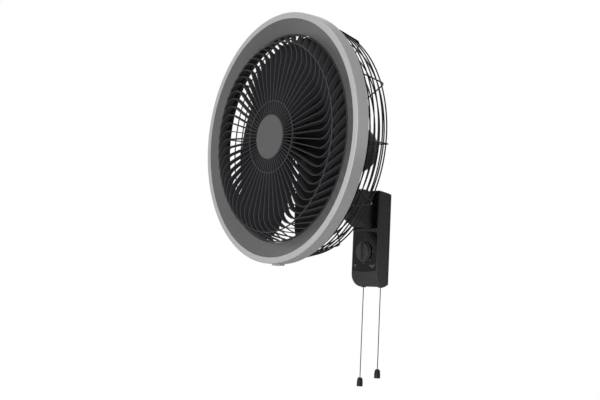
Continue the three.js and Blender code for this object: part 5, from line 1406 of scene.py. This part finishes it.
@dataclass
class RearGuard:
    """The welded wire guard behind the blades, and the plate and nut that hold it."""

    wire_radius: float = 1.35
    offset: float = 2.6
    spokes: int = 12
    first: float = math.radians(-5.0)
    rim_radius: float = 237.2
    rim_y: float = 22.5
    side_rings: int = 5
    side_start: tuple[float, float] = (237.8, 35.0)
    side_end: tuple[float, float] = (224.7, 87.0)
    back_y: float = 93.0
    back_radius: float = 211.0
    back_pitch: float = 13.0
    back_rings: int = 12
    bend: float = 10.0

    def spoke_side(self, y: float) -> float:
        """Radius of a spoke along the guard's side, at a depth y."""
        slope = (self.side_end[0] - self.side_start[0]) / (self.side_end[1] - self.side_start[1])
        return self.side_end[0] + self.offset + slope * (y - self.side_end[1])

    def spoke_wires(self) -> Shell:
        """All spokes: one route in (radius, y), bent round the shoulder and turned to each place.

        Returns:
            The spokes, placed about the head's own centre.
        """
        back = self.back_y + self.offset
        corners = [(self.rim_radius + self.offset, self.rim_y - 1.6),
                   (self.spoke_side(self.side_start[1]), self.side_start[1]),
                   (self.spoke_side(back), back), (60.0, back)]
        route = soften(corners, [0, 6, self.bend, 0], 12, closed=False)
        along = np.gradient(route, axis=0)
        along /= np.linalg.norm(along, axis=1, keepdims=True)
        wires = []
        for angle in self.first + 2 * np.pi * np.arange(self.spokes) / self.spokes:
            outward = np.array([math.cos(angle), 0.0, math.sin(angle)])
            place = route[:, :1] * outward + route[:, 1:] * np.array([0.0, 1.0, 0.0])
            up = -along[:, 1:] * outward + along[:, :1] * np.array([0.0, 1.0, 0.0])
            wires.append(wire(place, up, self.wire_radius))
        return wires[0].joined(*wires[1:])

    def build(self) -> None:
        """Makes the wire basket, its plate and its nut."""
        rings = [ring_wire(self.rim_radius, self.rim_y, self.wire_radius)]
        radii = np.linspace(self.side_start[0], self.side_end[0], self.side_rings)
        depths = np.linspace(self.side_start[1], self.side_end[1], self.side_rings)
        rings += [ring_wire(float(r), float(y), self.wire_radius) for r, y in zip(radii, depths)]
        rings += [ring_wire(self.back_radius - i * self.back_pitch, self.back_y, self.wire_radius,
                            180 if i < 6 else 120) for i in range(self.back_rings)]
        plate = revolved(soften([(22.3, 94.7), (66, 94.7), (66, 97.1), (22.3, 97.1)], 0.5), (0, 0, 0))
        basket = self.spoke_wires().joined(*rings, plate)
        make("wire_basket", basket.moved(HEAD_CENTRE), WIRE_COAT, Body.HEAD, "black_wire", "rear_guard")
        make("basket_nut", self.nut(), GRILLE_PLASTIC, Body.HEAD, "black_plastic", "guard_nut", smooth=30)

    def nut(self) -> Shell:
        """The ring nut: its rim radius follows 33 - 0.3 (1 - cos(12 a))^2, a lobed grip.

        Returns:
            The closed nut.
        """
        profile = soften([(22.3, 88.4), (33, 88.4), (33, 94.4), (22.3, 94.4)], 0.6)
        lobes = np.where(profile[:, 0] > 30, -0.3 * (1 - np.cos(12 * ROUND_TURN)) ** 2, 0.0)
        return revolved(profile, HEAD_CENTRE, ripple=lobes)


# ---------------------------------------------------------------- rotor
@dataclass
class Impeller:
    """The three-bladed impeller and the nut that holds it on the shaft."""

    blades: int = 3
    tip_radius: float = 206.0
    hub_radius: float = 36.0
    rear_y: float = 70.5
    tip_front_y: float = 47.2
    rear_angle: float = math.radians(26.0)
    tip_span: float = math.radians(108.0)
    root_rear: float = math.radians(16.0)
    root_front: float = math.radians(26.0)
    corner: float = 34.0
    thickness: float = 2.4

    def blade(self, number: int) -> Shell:
        """One blade: a helicoid y = rear - lead * chord with rounded tip corners.

        Row i is a loop round the blade at one radius: its upper points run along the chord and its
        lower ones back. The half thickness falls as sqrt(1 - (2c - 1)^8) towards both edges.

        Args:
            number: Which blade.

        Returns:
            The closed blade.
        """
        start = self.rear_angle + 2 * np.pi * number / self.blades
        lead = (self.rear_y - self.tip_front_y) / self.tip_span
        inner = self.hub_radius - 1.5
        share = np.sin(np.linspace(0.0, 1.0, 40) * np.pi / 2) ** 0.9
        radius = inner + (self.tip_radius - inner) * share
        over = np.clip((radius - self.tip_radius + self.corner) / self.corner, 0.0, 1.0)
        cut = self.corner / self.tip_radius * (1 - np.sqrt(np.maximum(0.0, 1 - over**2)))
        share_in = 1 - radius / self.tip_radius
        front = self.tip_span + self.root_front * share_in - cut
        rear = cut - self.root_rear * share_in
        c = 0.5 - 0.5 * np.cos(np.linspace(0.0, np.pi, 44))
        chord = rear[:, None] + (front - rear)[:, None] * c[None]
        half = self.thickness / 2 * np.sqrt(np.maximum(0.0, 1 - (2 * c - 1) ** 8)) + 0.02
        angle = start + chord
        pitch = np.arctan2(lead, radius)[:, None]
        y = self.rear_y - self.thickness / 2 - lead * chord
        place = np.stack([radius[:, None] * np.cos(angle), y, radius[:, None] * np.sin(angle)], -1)
        normal = np.stack([-np.sin(angle) * np.sin(pitch), np.cos(pitch) + 0 * angle,
                           np.cos(angle) * np.sin(pitch)], -1)
        upper = place + half[None, :, None] * normal
        lower = place - half[None, :, None] * normal
        return sleeve(np.concatenate([upper, lower[:, ::-1]], 1))

    def hub(self) -> Shell:
        """The hub cup, as one turned profile.

        Returns:
            The closed hub.
        """
        r = self.hub_radius
        profile = [(5.3, 20), (17, 20), (r - 3, 18), (r, 21), (r, 75), (r - 3, 75), (r - 3, 30), (11, 30),
                   (11, 56), (5.3, 56)]
        return revolved(soften(profile, [0.3, 3, 2, 2, 0.5, 0.5, 2, 1, 0.5, 0.5]), (0, 0, 0))

    def spinner(self) -> Shell:
        """The left-hand nut: a dome whose rim is fluted by 0.45 (cos(18 a) - 1).

        Returns:
            The closed nut.
        """
        profile = soften([(0, 4.8), (9.4, 5.3), (15.3, 7.8), (17, 16.8), (17, 18.8), (5.3, 18.8),
                          (5.3, 9.7), (0, 9.7)], [0, 2, 2.5, 1, 0.3, 0, 0.3, 0])
        flute = np.where(profile[:, 0] > 14, 0.45 * (np.cos(18 * ROUND_TURN) - 1), 0.0)
        return revolved(profile, HEAD_CENTRE, ripple=flute)

    def build(self) -> None:
        """Makes the impeller and its nut."""
        blades = [self.blade(number) for number in range(self.blades)]
        wheel = self.hub().joined(*blades).moved(HEAD_CENTRE)
        make("blade_wheel", wheel, BLADE_PLASTIC, Body.ROTOR, "grille_plastic", "impeller")
        make("wheel_nut", self.spinner(), GRIP_PLASTIC, Body.ROTOR, "black_plastic", "spinner_nut")


# ---------------------------------------------------------------- motor
@dataclass
class Motor:
    """The motor's front housing, rear cover and tilt bolt."""

    radius: float = 49.0
    wall: float = 3.5
    front: float = 97.6
    joint: float = 175.0
    tilt: tuple[float, float] = (160.0, -62.0)
    ear_radius: float = 11.0
    ear_width: float = 4.6
    bolt_hole: float = 4.3
    head_radius: float = 8.0

    def tilt_place(self) -> tuple[float, float]:
        """The tilt axis in (y, z)."""
        return self.tilt[0] + HEAD_CENTRE[1], self.tilt[1] + HEAD_CENTRE[2]

    def housing(self) -> None:
        """The cast front housing with its boss and two tilt ears."""
        r, inner, front = self.radius, self.radius - self.wall, self.front
        profile = [(5.6, front - 10), (22, front - 10), (22, front), (r - 4, front), (r, front + 4),
                   (r, self.joint), (inner, self.joint), (inner, front + 4), (16.8, front + 15.7),
                   (13.3, front + 15.7), (13.3, front + 6.1), (5.6, front + 6.1)]
        shell = revolved(soften(profile, [0.3, 0.8, 0.8, 3, 3, 0.3, 0.3, 1, 1, 0.3, 0.3, 0.3]), HEAD_CENTRE)
        housing = mesh_object("motor_can", shell)
        y, z = self.tilt_place()
        top = HEAD_CENTRE[2] - math.sqrt((r - self.wall / 2) ** 2 - 12.0**2)
        ear = arc((y, z), self.ear_radius, 180.0, 360.0, 32)
        outline = np.concatenate([ear, [(y + 13, top), (y - 13, top)]])
        ears = [slab(outline, low, low + self.ear_width, 0.6, Axis.X) for low in (-16.9, 12.3)]
        combine(housing, ears, Join.ADD)
        combine(housing, [bar(Axis.X, -100, 100, self.bolt_hole, (y, z))])
        shade(housing, 32)
        dress(housing, MOTOR_PAINT, Body.HEAD, "black_paint", "motor_housing")

    def dome(self) -> None:
        """The rear cover: a turned shell with a rounded back."""
        start, r = self.joint + 0.3, self.radius
        profile = [(r, start), (r - 2, 214), (r - 5, 223), (r - 10, 231), (r - 17, 234), (0, 235),
                   (0, 232.6), (r - 18, 231.6), (r - 7.4, 222), (r - 2.4, start)]
        shell = revolved(soften(profile, [0.4, 4, 5, 5, 5, 0, 0, 4, 6, 0.3], 8), HEAD_CENTRE)
        dome = mesh_object("motor_cover", shell)
        shade(dome, 32)
        dress(dome, DOME_PLASTIC, Body.HEAD, "black_plastic", "motor_dome")

    def bolts(self) -> None:
        """The tilt bolt with its round head, and its hexagon nut."""
        y, z = self.tilt_place()
        bolt = mesh_object("tilt_screw", bar(Axis.X, 17.2, 21.7, self.head_radius, (y, z), 1.2))
        combine(bolt, [bar(Axis.X, -21.7, 18.0, self.bolt_hole - 0.3, (y, z), 0.4)], Join.ADD)
        combine(bolt, [block((20.4, y - 6, z - 0.8), (23, y + 6, z + 0.8))])
        shade(bolt, 32)
        dress(bolt, BARE_STEEL, Body.HEAD, "steel", "tilt_bolt")
        nut = mesh_object("tilt_hex", bar(Axis.X, -20.7, -17.2, self.head_radius, (y, z), 0.4, sides=6), 20)
        combine(nut, [bar(Axis.X, -30, -10, self.bolt_hole, (y, z))])
        dress(nut, BARE_STEEL, Body.HEAD, "steel", "tilt_nut")

    def build(self) -> None:
        """Makes the motor's outer pieces."""
        self.housing()
        self.dome()
        self.bolts()


CARRIED_FINISHES: dict[Finish, tuple[str, ...]] = {
    ZINC_SHEET: ("wall_plate", "swing_motor"),
    CAPACITOR_SHELL: ("run_capacitor",),
    CAST_METAL: ("motor_end_shield",),
    BLACK_RUBBER: ("left_cord_bush", "right_cord_bush"),
    PALE_NYLON: ("rotary_switch", "swing_sun_gear", "swing_planet_gear", "thrust_washer",
                 "left_pull_switch", "right_pull_switch", "lower_swing_bush", "upper_swing_bush"),
    BARE_STEEL: ("swing_bracket", "swing_pin", "swing_pin_nut", "left_pull_rod", "right_pull_rod",
                 "stator", "front_bearing", "rear_bearing", "motor_shaft", "rotor_core", "switch_shaft"),
}


def dress_carried_nodes() -> None:
    """Gives the CAD nodes that are shown as they are their finishes."""
    for finish, names in CARRIED_FINISHES.items():
        for name in names:
            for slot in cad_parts[name].material_slots:
                slot.material = finish.material()
            LOG.info("%s keeps its CAD shape", name)


def main() -> None:
    """Builds the studio, the cords and every sub-assembly."""
    logging.basicConfig(level=logging.INFO, format="%(name)s %(message)s")
    Studio().build()
    PullCord("left", Body.LEFT_PULL, -26.6, -287.0).build()
    PullCord("right", Body.RIGHT_PULL, 26.6, -266.0).build()
    for assembly in (WallCase(), Neck(), HeadRing(), FrontGrille(), RearGuard(), Impeller(), Motor()):
        assembly.build()
    dress_carried_nodes()


if __name__ == "__main__":
    main()
